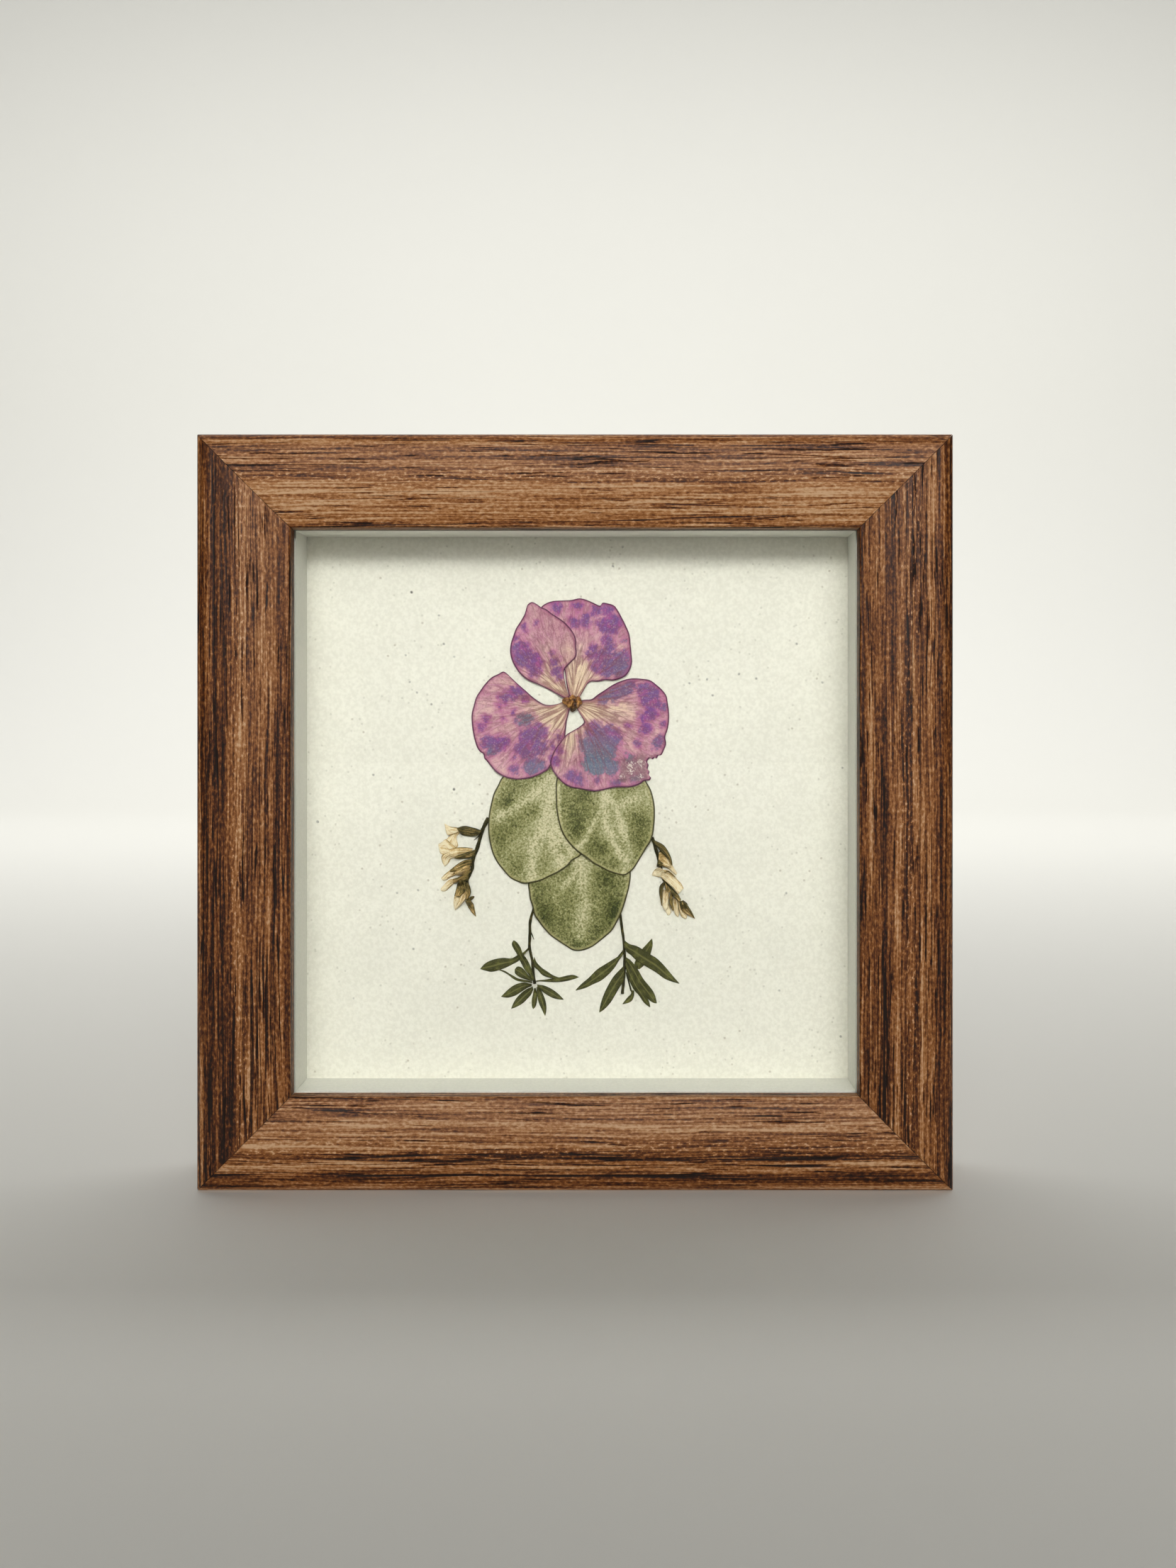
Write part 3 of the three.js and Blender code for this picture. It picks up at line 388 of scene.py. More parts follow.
class Piece:
    """Gathers the skins of one piece, in mm, with a number per vertex for each mark.

    Every skin of a piece carries the same marks. grain_u and grain_v become its UV map.
    """

    def __init__(self, name):
        self.name = name
        self.points = []
        self.quads = []
        self.triangles = []
        self.marks = []
        self.count = 0

    def skin(self, rows, ring=False, **marks):
        """A closed skin over rows of points that each close on themselves, joined by quads.

        In a ring the last row joins the first. Otherwise a fan closes each of the two.
        """
        rows = np.asarray(rows, float)
        high, wide = rows.shape[:2]
        points = rows.reshape(-1, 3)
        quads = grid_quads(high, wide, ring)
        fans = np.zeros((0, 3), int)
        if not ring:
            points = np.vstack([points, rows[0].mean(0), rows[-1].mean(0)])
            j = np.arange(wide)
            k = (j + 1) % wide
            hub = np.full(wide, high * wide)
            last = (high - 1) * wide
            fans = np.column_stack([[hub, j, k], [hub + 1, last + k, last + j]]).T
        a, b, c = (points[k] for k in np.vstack([fans, quads[:, :3], quads[:, [0, 2, 3]]]).T)
        if np.einsum("ij,ij", a, np.cross(b, c)) < 0:
            quads, fans = quads[:, ::-1], fans[:, ::-1]
        self.points.append(points)
        self.quads.append(quads + self.count)
        self.triangles.append(fans + self.count)
        self.count += len(points)
        filled = {}
        for key, values in marks.items():
            values = np.broadcast_to(values, (high, wide))
            filled[key] = np.append(values, [values[0].mean(), values[-1].mean()])
        self.marks.append(filled)

    def make(self, material, slot, nodes=(), sharp=None, body=BODY):
        """The object, riding on its body in place of the nodes that it stands for."""
        points = np.vstack(self.points) * MM
        quads = np.vstack(self.quads)
        triangles = np.vstack(self.triangles)
        corners = np.concatenate([quads.ravel(), triangles.ravel()]).astype(np.int32)
        starts = np.concatenate(
            [np.arange(len(quads)) * 4, len(quads) * 4 + np.arange(len(triangles)) * 3]
        ).astype(np.int32)
        mesh = bpy.data.meshes.new(self.name)
        mesh.vertices.add(len(points))
        mesh.vertices.foreach_set("co", points.astype(np.float32).ravel())
        mesh.loops.add(len(corners))
        mesh.loops.foreach_set("vertex_index", corners)
        mesh.polygons.add(len(starts))
        mesh.polygons.foreach_set("loop_start", starts)
        mesh.update(calc_edges=True)
        mesh.polygons.foreach_set("use_smooth", np.ones(len(starts), bool))
        marks = {key: np.concatenate([part[key] for part in self.marks]) for key in self.marks[0]}
        for key in sorted(set(marks) - {"grain_u", "grain_v"}):
            layer = mesh.attributes.new(key, "FLOAT", "POINT")
            layer.data.foreach_set("value", marks[key].astype(np.float32))
        if "grain_u" in marks:
            pair = np.column_stack([marks["grain_u"], marks["grain_v"]])[corners]
            mesh.uv_layers.new(name="grain").data.foreach_set("uv", pair.astype(np.float32).ravel())
        if sharp:
            mesh.set_sharp_from_angle(angle=math.radians(sharp))
        mesh.materials.append(material)
        made = bpy.data.objects.new(self.name, mesh)
        bpy.context.scene.collection.objects.link(made)
        if nodes:
            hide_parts(*nodes)
        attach(made, body)


def dress(node, material):
    """Gives a CAD node its finish."""
    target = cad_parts[node]
    target.data.materials.clear()
    target.data.materials.append(material)


# Moulding


def rail_section(s):
    """Points (distance from the outer edge, depth behind the crown) round the moulding.

    The shoulder is a quarter ellipse, the slope falls as share^1.6, the nose is a quarter circle.
    The ring starts in the rabbet, so that the film's seam is out of sight.
    """
    shoulder, drop, crown = s.shoulder / MM, s.shoulder_drop / MM, s.crown_at / MM
    rise, slope, nose, lip = s.crown_rise / MM, s.slope_drop / MM, s.nose / MM, s.lip / MM
    turn = np.linspace(np.pi / 2, 0, 20)
    part = [np.column_stack([shoulder * (1 - np.sin(turn)), rise + drop * (1 - np.cos(turn))])]
    share = np.linspace(0, 1, 10)[1:]
    part.append(
        np.column_stack([shoulder + (crown - shoulder) * share, rise * (1 - share) ** 2])
    )
    share = np.linspace(0, 1, 26)[1:]
    end = RAIL_WIDTH - nose
    part.append(np.column_stack([crown + (end - crown) * share, slope * share**1.6]))
    turn = np.linspace(0, np.pi / 2, 8)[1:]
    part.append(np.column_stack([end + nose * np.sin(turn), slope + nose * (1 - np.cos(turn))]))
    back = RAIL_BACK - RAIL_FRONT
    lip_back = slope + nose + lip
    wall = RAIL_WIDTH - s.rabbet / MM
    corners = [(RAIL_WIDTH, lip_back), (wall, lip_back), (wall, back), (0, back)]
    for here, there in zip([part[-1][-1]] + corners[:-1], corners):
        share = np.linspace(0, 1, 5)[1:, None]
        part.append(np.asarray(here) * (1 - share) + np.asarray(there) * share)
    share = np.linspace(0, 1, 6)[1:-1, None]
    part.append(np.array([0, back]) * (1 - share) + np.array([0, rise + drop]) * share)
    return np.roll(np.vstack(part), 9, axis=0)


def rail_rows(section, steps=40):
    """The bottom rail: its section carried along X between two mitred ends."""
    across, depth = section.T
    reach = HALF - across - MITRE_GAP / 2
    share = np.linspace(-1, 1, steps)[:, None]
    x = share * reach
    y = np.broadcast_to(RAIL_FRONT + depth, x.shape)
    z = np.broadcast_to(across - HALF, x.shape)
    return np.stack([x, y, z], axis=-1)


def wood_film(s):
    f = Finish("wood_film")
    grain = f.node("ShaderNodeUVMap", {"uv_map": "grain"})
    along, across, _ = f.split(grain)
    wander = f.noise(f.join(along * 14, across * 30), 1, 2) - 0.5
    across = across + wander * 0.0022
    streak = f.noise(f.join(along * 10, across * 720), 1, 4, 0.62)
    fine = f.noise(f.join(along * 60, across * 2200), 1, 3, 0.6)
    pebble = f.noise(f.join(along * 1000, across * 1900), 1, 2, 0.6)
    lines = f.noise(f.join(along * 7, across * 420, 9.0), 1, 2, 0.5)
    short = f.noise(f.join(along * 85, across * 1700, 5.0), 1, 2, 0.6)
    patch = f.noise(f.join(along * 30, across * 160, 4.0), 1, 2)
    pore = f.step(short + (patch - 0.5) * 0.4, 0.6, 0.68)
    crack = f.step(abs(lines - 0.5), 0.016, 0.005) * f.step(patch, 0.4, 0.55)
    # painted glint: pebbly bright specks that lighten the film's colour, strongest in a band along the
    # crown, stand in for the gloss highlight there; they also lower the roughness
    sparkle = f.step(pebble, 0.56, 0.72) * (f.attribute("sparkle") + 0.25)
    tone = f.attribute("tone") + (streak - 0.5) * 1.3 + (fine - 0.5) * 1.3 + (pebble - 0.5) * 0.9
    tone = tone + sparkle * 0.3 - pore * 0.4 - crack * 0.45
    colour = f.ramp(
        tone.clamp(), (0.05, s.pore), (0.25, s.dark), (0.45, s.ground), (0.65, s.light), (0.9, s.pale)
    )
    height = streak * 0.5 + fine * 0.9 + pebble * 0.4 - pore * 0.3 - crack * 0.4
    rough = 0.42 + pore * 0.3 + fine * 0.12 - sparkle * 0.15
    return f.surface(colour, rough, f.bump(height, 0.09, 0.9), Specular_IOR_Level=0.32)


# Long streaks of each rail's film: ground tone, then (mm from the outer edge, half width, tone). The
# streaks are the film's print. The top and bottom rails get a lighter ground than the side rails: that
# difference is painted sheen, the gloss that their lengthwise grain catches from the light above.
RAIL_STREAKS_AND_SHEEN = {
    "rail_bottom": (
        0.47, [(0.6, 0.6, 0.2), (2.4, 1.3, -0.13), (5.3, 1.0, 0.16), (6.9, 0.5, -0.05),
               (9.8, 1.0, 0.1), (12.2, 1.2, 0.16), (15.4, 2.4, 0.15)],
    ),
    "rail_left": (
        0.42, [(4.9, 2.6, -0.2), (9.4, 1.0, 0.13), (11.0, 0.6, -0.02), (13.9, 1.2, 0.12),
               (18.2, 0.8, -0.08)],
    ),
    "rail_top": (
        0.5, [(0.4, 0.7, -0.1), (1.8, 0.6, 0.09), (5.0, 1.0, 0.08), (6.9, 0.6, -0.08),
              (11.5, 1.4, 0.22), (14.2, 1.8, 0.16), (16.9, 1.2, 0.1)],
    ),
    "rail_right": (
        0.4, [(1.8, 1.7, -0.1), (4.9, 0.9, 0.14), (6.7, 0.7, 0.1), (8.8, 0.8, -0.03),
              (11.1, 0.9, 0.11), (13.2, 1.0, -0.03), (15.7, 0.7, 0.08)],
    ),
}


class PRESSED_OT_moulding(bpy.types.Operator):
    """Make the four mitred rails with their wood-look film"""

    bl_idname = "pressed.moulding"
    bl_label = "Moulding"

    def execute(self, context):
        s = context.scene.pressed_moulding
        film = wood_film(s)
        section = rail_section(s)
        rows = rail_rows(section)
        around = length_along(section)
        for number, (name, (ground, streaks)) in enumerate(RAIL_STREAKS_AND_SHEEN.items()):
            turn = number * np.pi / 2
            x, y, z = np.moveaxis(rows, -1, 0)
            bend = 0.45 * ripple(x, 0 * x, 20 + number, 60)
            across = z + HALF + bend
            tone = ground + sum(k * bell(across - place, w) for place, w, k in streaks)
            # band just inside the crown where the painted glint, a painted highlight, is strongest
            sparkle = bell(across - s.crown_at / MM - 0.8, 1.3)
            turned = np.stack(
                [x * np.cos(turn) + z * np.sin(turn), y, MIDDLE - x * np.sin(turn) + z * np.cos(turn)],
                axis=-1,
            )
            piece = Piece(f"{name}_film")
            piece.skin(
                turned,
                tone=tone,
                sparkle=sparkle,
                grain_u=x * MM + number * 0.37,
                grain_v=np.broadcast_to(around * MM + number * 0.11, x.shape),
            )
            piece.make(film, "wood", [name], sharp=35)
        return {"FINISHED"}


# Glass, liner, card and back panel


def clear_glass():
    """Clear glass that lets the lamps' light through to the card."""
    f = Finish("picture_glass")
    values = {
        "Base Color": (0.985, 0.995, 0.99), "Roughness": 0.0, "IOR": 1.5,
        "Transmission Weight": 1.0, "Specular Tint": (0.3, 0.3, 0.32),
    }
    pane = f.node("ShaderNodeBsdfPrincipled", values=values)
    open_air = f.node("ShaderNodeBsdfTransparent", values={"Color": (0.93, 0.95, 0.94)})
    lamp_ray = f.node("ShaderNodeLightPath", output="Is Shadow Ray")
    return f.show(f.node("ShaderNodeMixShader", values={0: lamp_ray, 1: pane, 2: open_air}))


def speckled_card(s):
    f = Finish("speckled_card")
    place = f.object_place()
    cloud = f.noise(place, 90, 3)
    fibre = f.noise(place, 1400, 4, 0.65)
    strand = f.noise(f.stretch(place, (600, 600, 2600)), 1, 3, 0.6, 1.2)
    base = f.mix(f.step(cloud, 0.3, 0.7), times(s.card, 0.965), s.card)
    base = f.coats(base, (fibre, 0.62, 0.38, 0.24, "c9c5b4"), (strand, 0.66, 0.75, 0.25, "d8d2bf"))
    jitter = f.noise(place, 2600, 1) - 0.5
    x, _, z = f.split(place)
    flat = f.join(x, z)
    for scale, size, colour, share, rarity in (
        (420, 0.12, "b5b1a0", 0.4, 0.55), (260, 0.08, "9c8e74", 0.45, 0.6),
        (190, 0.06, "77756a", 0.6, 0.63), (120, 0.042, "4f4d46", 0.85, 0.61),
    ):
        speck = f.step(f.cells(flat, scale) + jitter * size * 0.8, size, size * 0.5)
        chosen = f.step(f.noise(place, scale * 0.45, 1), rarity, rarity + 0.06)
        base = f.mix(speck * chosen * share, base, colour)
    return f.surface(base, 0.9, f.bump(fibre * 0.7 + strand * 0.3, 0.05, 0.6))


def plain_paper(s):
    f = Finish("liner_paper")
    place = f.object_place()
    fibre = f.noise(place, 1800, 3)
    base = f.mix(f.step(fibre, 0.35, 0.65), times(s.liner, 0.93), s.liner)
    return f.surface(base, 0.75, f.bump(fibre, 0.02, 0.5))


def hardboard(s):
    f = Finish("hardboard")
    place = f.object_place()
    fibre = f.noise(f.stretch(place, (1, 1, 2.2)), 700, 5, 0.7, 0.8)
    cloud = f.noise(place, 60, 3)
    fleck = f.noise(f.stretch(place, (900, 300, 300)), 1, 3, 0.6)
    base = f.mix(f.step(fibre, 0.36, 0.64), times(s.panel, 0.6), s.panel)
    base = f.coats(
        base, (cloud, 0.4, 0.75, 0.3, times(s.panel, 1.25)), (fleck, 0.6, 0.7, 0.6, "4f331c")
    )
    return f.surface(base, 0.75, f.bump(fibre, 0.08, 0.6))


class PRESSED_OT_layers(bpy.types.Operator):
    """Finish the glass, the liner strips, the card and the back panel"""

    bl_idname = "pressed.layers"
    bl_label = "Glass, liner, card and panel"

    def execute(self, context):
        s = context.scene.pressed_paper
        dress("glass", clear_glass())
        dress("card", speckled_card(s))
        dress("back_panel", hardboard(s))
        paper = plain_paper(s)
        for side in ("left", "right", "top", "bottom"):
            dress(f"liner_{side}", paper)
        return {"FINISHED"}


# Fittings on the back


def plated_steel(name, colour):
    f = Finish(name)
    place = f.object_place()
    cloud = f.noise(place, 500, 4, 0.6)
    scratch = f.noise(f.stretch(place, (400, 3000, 3000)), 1, 3, 0.7, 0.4)
    base = f.mix(f.step(cloud, 0.3, 0.75), times(colour, 0.75), colour)
    rough = 0.3 + cloud * 0.15 + f.step(scratch, 0.6, 0.75) * 0.2
    return f.surface(base, rough, f.bump(scratch, 0.01, 0.4), metallic=1.0)


INSIDE = 0.01  # how far a fitting's skin stays inside its solid, in mm


def turn_button(name, steel):
    """A stamped plate round its pivot: the hull of a big and a small circle, with a hole.

    In each direction the hull's edge is the least of reach / cosine over all its tangents. The face
    is rounded to the edge by a quarter circle, with a shallow groove along the arm.
    """
    low, high = (np.array(corner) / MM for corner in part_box(f"turn_button_{name}"))
    big = (high[2] - low[2]) / 2 - INSIDE
    small, hole, hole_bevel, hole_drop, rounding = 2.8, 1.78, 0.15, 0.12, 0.3
    groove_depth, groove_width = 0.16, 0.8
    arm = high[0] - low[0] - big - small - 2 * INSIDE
    side = 1 if name.endswith("right") else -1
    pivot_x = high[0] - big - INSIDE if side > 0 else low[0] + big + INSIDE
    pivot_z = (high[2] + low[2]) / 2
    turn = full_turn(120)
    tangent = full_turn(1440)
    reach = np.maximum(big, arm * np.cos(tangent) + small)
    facing = np.cos(turn[:, None] - tangent)
    rim = np.min(np.where(facing > 0.1, reach / np.maximum(facing, 0.1), np.inf), axis=1)
    bend = np.linspace(0, np.pi / 2, 6)[:, None]
    share = np.linspace(0, 1, 18)[:, None]
    face = hole + hole_bevel + (rim - rounding - hole - hole_bevel) * share
    flat = 0 * rim
    far = np.vstack([flat + hole, face, rim - rounding * (1 - np.sin(bend)), rim, flat + hole])
    past_groove = np.maximum(0, abs(face * np.cos(turn) - arm * 0.72) - arm * 0.22)
    groove = np.hypot(past_groove, face * np.sin(turn))
    top = high[1] - INSIDE
    depth = np.vstack([
        flat + hole_drop, groove_depth * bell(groove, groove_width),
        rounding * (1 - np.cos(bend)) + flat, flat + top - low[1], flat + top - low[1],
    ])
    x, z = pivot_x - side * far * np.cos(turn), pivot_z + far * np.sin(turn)
    piece = Piece(f"turn_button_{name}_plate")
    piece.skin(np.stack([x, top - depth, z], axis=-1), ring=True)
    piece.make(steel, "button_steel", [f"turn_button_{name}"], sharp=40, body=f"button_{name}")


def cross_screw(name, steel):
    """A pan-head screw: a profile turned round Y, less a cross cut into its face.

    The profile (radius, out) runs down the domed face, under the head and down the shank to its
    tip. The cross is the larger of two soft-edged bars, each fading in depth towards its ends.
    """
    low, high = (np.array(corner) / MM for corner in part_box(f"button_screw_{name}"))
    centre = (low + high) / 2
    head, shank, head_height, edge_height = (high[0] - low[0]) / 2 - 2 * INSIDE, 1.4, 0.9, 0.42
    turn = full_turn(96)
    inner = np.linspace(0.02, 1, 44)
    face = np.column_stack([head * 0.93 * inner, head_height * (1 - edge_height * inner**2.6)])
    far, out = np.vstack([
        face, [head, head_height * edge_height], [head, 0.03], [shank, 0], [shank, -5.4],
        [shank * 0.3, -7.7], [0.06, -7.95],
    ]).T[..., None]
    x, z = far * np.cos(turn), far * np.sin(turn)
    half, reach, soft, deep = 0.34, 1.55, 0.16, 0.62
    bars = [
        np.clip((half - abs(a)) / soft + 0.5, 0, 1) * np.clip((reach - abs(b)) / soft + 0.5, 0, 1)
        * (1 - 0.45 * abs(b) / reach)
        for a, b in ((x, z), (z, x))
    ]
    cut = np.where(out > head_height * 0.5, deep * np.maximum(*bars), 0)
    y = high[1] - head_height + out - cut
    piece = Piece(f"button_screw_{name}_head")
    piece.skin(np.stack([centre[0] + x, y, centre[2] + z], axis=-1))
    piece.make(steel, "screw_steel", [f"button_screw_{name}"], sharp=50)


def saw_hanger(brass):
    """A strip of sheet whose middle stands off: a rounded section carried along X.

    Its lower edge is a triangle wave over the teeth. Two domed nails hold its ends.
    """
    low, high = (np.array(corner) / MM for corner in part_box("sawtooth_hanger"))
    end, sheet, teeth, pitch, tooth = high[0] - 2 * INSIDE, 0.7, 9, 2.7, 1.4
    foot, middle = 15.2, 13.4  # where the bend up to the middle starts and ends
    x = np.linspace(-end, end, 640)
    rise = (high[1] - low[1] - sheet - 0.1) * ease(np.abs(x), foot, middle)
    share = np.abs((x / pitch + 0.5) % 1 - 0.5) * 2
    notch = np.where(np.abs(x) < teeth * pitch / 2, tooth * (1 - share), 0)
    corner = 0.9 * ease(np.abs(x), end - 1, end)
    bottom, top = low[2] + 2 * INSIDE + notch + corner, high[2] - 2 * INSIDE - corner
    turn = full_turn(40)
    wide = np.sign(np.cos(turn)) * np.abs(np.cos(turn)) ** 0.25
    thick = np.sign(np.sin(turn)) * np.abs(np.sin(turn)) ** 0.4
    z = (top + bottom)[:, None] / 2 + (top - bottom)[:, None] / 2 * wide
    y = (low[1] + 2 * INSIDE + sheet / 2 + rise)[:, None] + sheet / 2 * thick
    piece = Piece("sawtooth_hanger_strip")
    piece.skin(np.stack([np.broadcast_to(x[:, None], z.shape), y, z], axis=-1))
    nail_at, nail_radius, nail_dome = (end + 14) / 2, 1.5, 0.75
    dome = np.linspace(0.03, np.pi / 2, 12)[:, None]
    far = np.vstack([nail_radius * np.sin(dome), [[0.8]], [[0.05]]])
    out = np.vstack([nail_dome * np.cos(dome), [[-0.1]], [[-0.3]]])
    turn = full_turn(32)
    z = (low[2] + high[2]) / 2 + far * np.sin(turn)
    y = np.broadcast_to(low[1] + sheet + out, z.shape)
    for side in (-1, 1):
        piece.skin(np.stack([side * nail_at + far * np.cos(turn), y, z], axis=-1))
    piece.make(brass, "hanger_steel", ["sawtooth_hanger"], sharp=40)


class PRESSED_OT_fittings(bpy.types.Operator):
    """Make the turn buttons, their screws and the sawtooth hanger"""

    bl_idname = "pressed.fittings"
    bl_label = "Fittings on the back"

    def execute(self, context):
        s = context.scene.pressed_paper
        steel = plated_steel("zinc_plate", s.steel)
        for name in ("upper_left", "upper_right", "lower_left", "lower_right"):
            turn_button(name, steel)
            cross_screw(name, steel)
        saw_hanger(plated_steel("brass_plate", s.brass))
        return {"FINISHED"}


# Pressed plants: laying thin pieces on the card

SPREAD = 1.015  # the drawing of the plants goes on the card this much larger
SHIFT = np.array([-0.25, -0.16])


def on_card(points):
    """Points of the plants' drawing as places on the card."""
    return np.asarray(points, float) * SPREAD + SHIFT


def far_from(u, v, x, y):
    """Distance of each place on the card from a point of the drawing."""
    centre = on_card((x, y))
    return np.hypot(u - centre[0], v - centre[1])


class Bed:
    """Heights of what is laid on the card so far, in mm, on a square raster."""

    cell = 0.2
    half = (32, 48)

    def __init__(self):
        self.heights = np.zeros([int(2 * h / self.cell) for h in self.half])

    def index(self, u, v):
        return [(c + h) / self.cell - 0.5 for c, h in zip((u, v), self.half)]

    def base(self, u, v, reach):
        """Height that a piece lies on: the highest within reach, then a mean over that reach."""
        steps = max(1, round(reach / self.cell))
        spread = self.heights
        for axis in (0, 1):
            spread = np.max([np.roll(spread, k, axis) for k in range(-steps, steps + 1)], axis=0)
        half = max(1, steps // 2)
        for _ in range(2):
            for axis in (0, 1):
                rolled = [np.roll(spread, k, axis) for k in range(-half, half + 1)]
                spread = np.mean(rolled, axis=0)
        i, j = self.index(u, v)
        i0 = np.floor(i).astype(int)
        j0 = np.floor(j).astype(int)
        s, t = i - i0, j - j0
        low = spread[i0, j0] * (1 - s) + spread[i0 + 1, j0] * s
        high = spread[i0, j0 + 1] * (1 - s) + spread[i0 + 1, j0 + 1] * s
        return low * (1 - t) + high * t

    def lay(self, u, v, top):
        i, j = (np.round(k).astype(int) for k in self.index(u, v))
        np.maximum.at(self.heights, (i, j), top)


bed = Bed()
LAID_GAP = 0.04  # under each laid piece


def on_frame(u, v, height):
    """Places on the card, and heights over it, as points of the whole model, in mm."""
    return np.stack([u, CARD_FACE - height, MIDDLE + v], axis=-1)


def path_distance(u, v, path):
    """Distance of each place on the card from a path of straight stretches of the drawing."""
    path = on_card(path)
    nearest = np.full(np.shape(u), np.inf)
    for a, b in zip(path[:-1], path[1:]):
        way = b - a
        share = np.clip(((u - a[0]) * way[0] + (v - a[1]) * way[1]) / np.dot(way, way), 0, 1)
        far = np.hypot(u - a[0] - share * way[0], v - a[1] - share * way[1])
        nearest = np.minimum(nearest, far)
    return nearest


def disc_grid(outline, centre, around=360, rings=72):
    """Places on rings between a centre and a smooth closed outline, closer towards the rim."""
    rim = smooth_path(on_card(outline), around, closed=True)
    x, y = rim.T
    if np.sum(x * np.roll(y, -1) - np.roll(x, -1) * y) < 0:
        rim = rim[::-1]
    centre = on_card(centre)
    share = (1 - (1 - np.linspace(0, 1, rings + 1)[1:]) ** 1.35)[:, None, None]
    places = centre + (rim - centre) * share
    inward = (1 - share[..., 0]) * np.linalg.norm(rim - centre, axis=1)
    return places[..., 0], places[..., 1], inward


def pressed_disc(name, outline, centre, thickness, marks, reach, curl, seed, vein_rise=0.0):
    """A thin round piece: back = bed + gap + curl, front = back + thickness, thinner at the rim."""
    u, v, inward = disc_grid(outline, centre)
    sway = ripple(u, v, seed, 9)
    lift = curl * (0.4 + 0.6 * sway) * ease(inward, 5, 0) + 0.05 * (1 + ripple(u, v, seed + 1, 4))
    back = bed.base(u, v, reach) + LAID_GAP + np.maximum(lift, 0)
    body = thickness * (0.35 + 0.65 * ease(inward, 0, 0.35))
    front = back + body * (1 + 0.05 * ripple(u, v, seed + 2, 1.6, 14))
    values = {"rim": inward, **marks(u, v)}
    front = front + vein_rise * values.get("vein", 0) * ease(inward, 0, 1.5)
    bed.lay(u, v, front)
    chosen = np.arange(len(u) - 2, 0, -8)  # the back needs fewer rings than the front
    behind = on_frame(u[chosen], v[chosen], back[chosen])
    piece = Piece(f"{name}_skin")
    values = {key: np.concatenate([value, value[chosen]]) for key, value in values.items()}
    piece.skin(np.concatenate([on_frame(u, v, front), behind]), **values)
    return piece


def blade_rows(edges, thickness, seed, steps=56, columns=10, reach=0.5, groove=0.0, hump=0.0):
    """A blade between two edges: a lens-shaped section carried from base to tip.

    The front stands at thickness * sqrt(1 - w^2), where w runs -1 to 1 across, less a groove.
    """
    one, other = (smooth_path(on_card(points), steps) for points in edges)
    w = -np.cos(np.linspace(0, np.pi, columns + 1))
    share = ((w + 1) / 2)[None, :, None]
    places = one[:, None] * (1 - share) + other[:, None] * share
    u, v = places[..., 0], places[..., 1]
    width = np.linalg.norm(one - other, axis=1)[:, None]
    along = np.linspace(0, 1, steps)[:, None]
    full = np.minimum(1, width / 0.9) ** 0.5
    back = bed.base(u, v, reach) + LAID_GAP + 0.06 * np.maximum(0, ripple(u, v, seed, 3))
    back = back + hump * np.sin(np.pi * along)
    round_over = np.sqrt(np.clip(1 - w**2, 0, 1))
    front = back + 0.05 + thickness * full * round_over
    front = front - groove * full * np.exp(-((w / 0.16) ** 2))
    front = front + 0.03 * ripple(u, v, seed + 1, 0.9) * round_over
    bed.lay(u, v, front)
    inner = slice(-2, 0, -1)
    rows_u, rows_v = (np.concatenate([g, g[:, inner]], axis=1) for g in (u, v))
    heights = np.concatenate([front, back[:, inner]], axis=1)
    across = np.broadcast_to(np.concatenate([w, w[inner]]), rows_u.shape)
    return on_frame(rows_u, rows_v, heights), np.broadcast_to(along, rows_u.shape), across


def stalk_rows(path, start, end, seed, steps=120, sides=10, reach=0.4, flat=0.8):
    """A thin tube on the card: a circle of a slowly changing radius carried along a path."""
    line = smooth_path(on_card(path), steps)
    along = np.linspace(0, 1, steps)
    radius = (start + (end - start) * along) / 2
    radius = radius * (1 + 0.1 * ripple(line[:, 0], line[:, 1], seed, 2.2))
    way = np.gradient(line, axis=0)
    way /= np.linalg.norm(way, axis=1)[:, None]
    side = np.column_stack([-way[:, 1], way[:, 0]])
    base = bed.base(line[:, 0], line[:, 1], reach)
    turn = full_turn(sides)
    out = np.cos(turn) * radius[:, None]
    u = line[:, :1] + side[:, :1] * out
    v = line[:, 1:] + side[:, 1:] * out
    height = (base + LAID_GAP + radius * flat)[:, None] + np.sin(turn) * radius[:, None] * flat
    bed.lay(u, v, height)
    return on_frame(u, v, height), np.broadcast_to(along[:, None], u.shape), np.cos(turn)[None] + 0 * u


# Feet: sprigs of small dark leaves

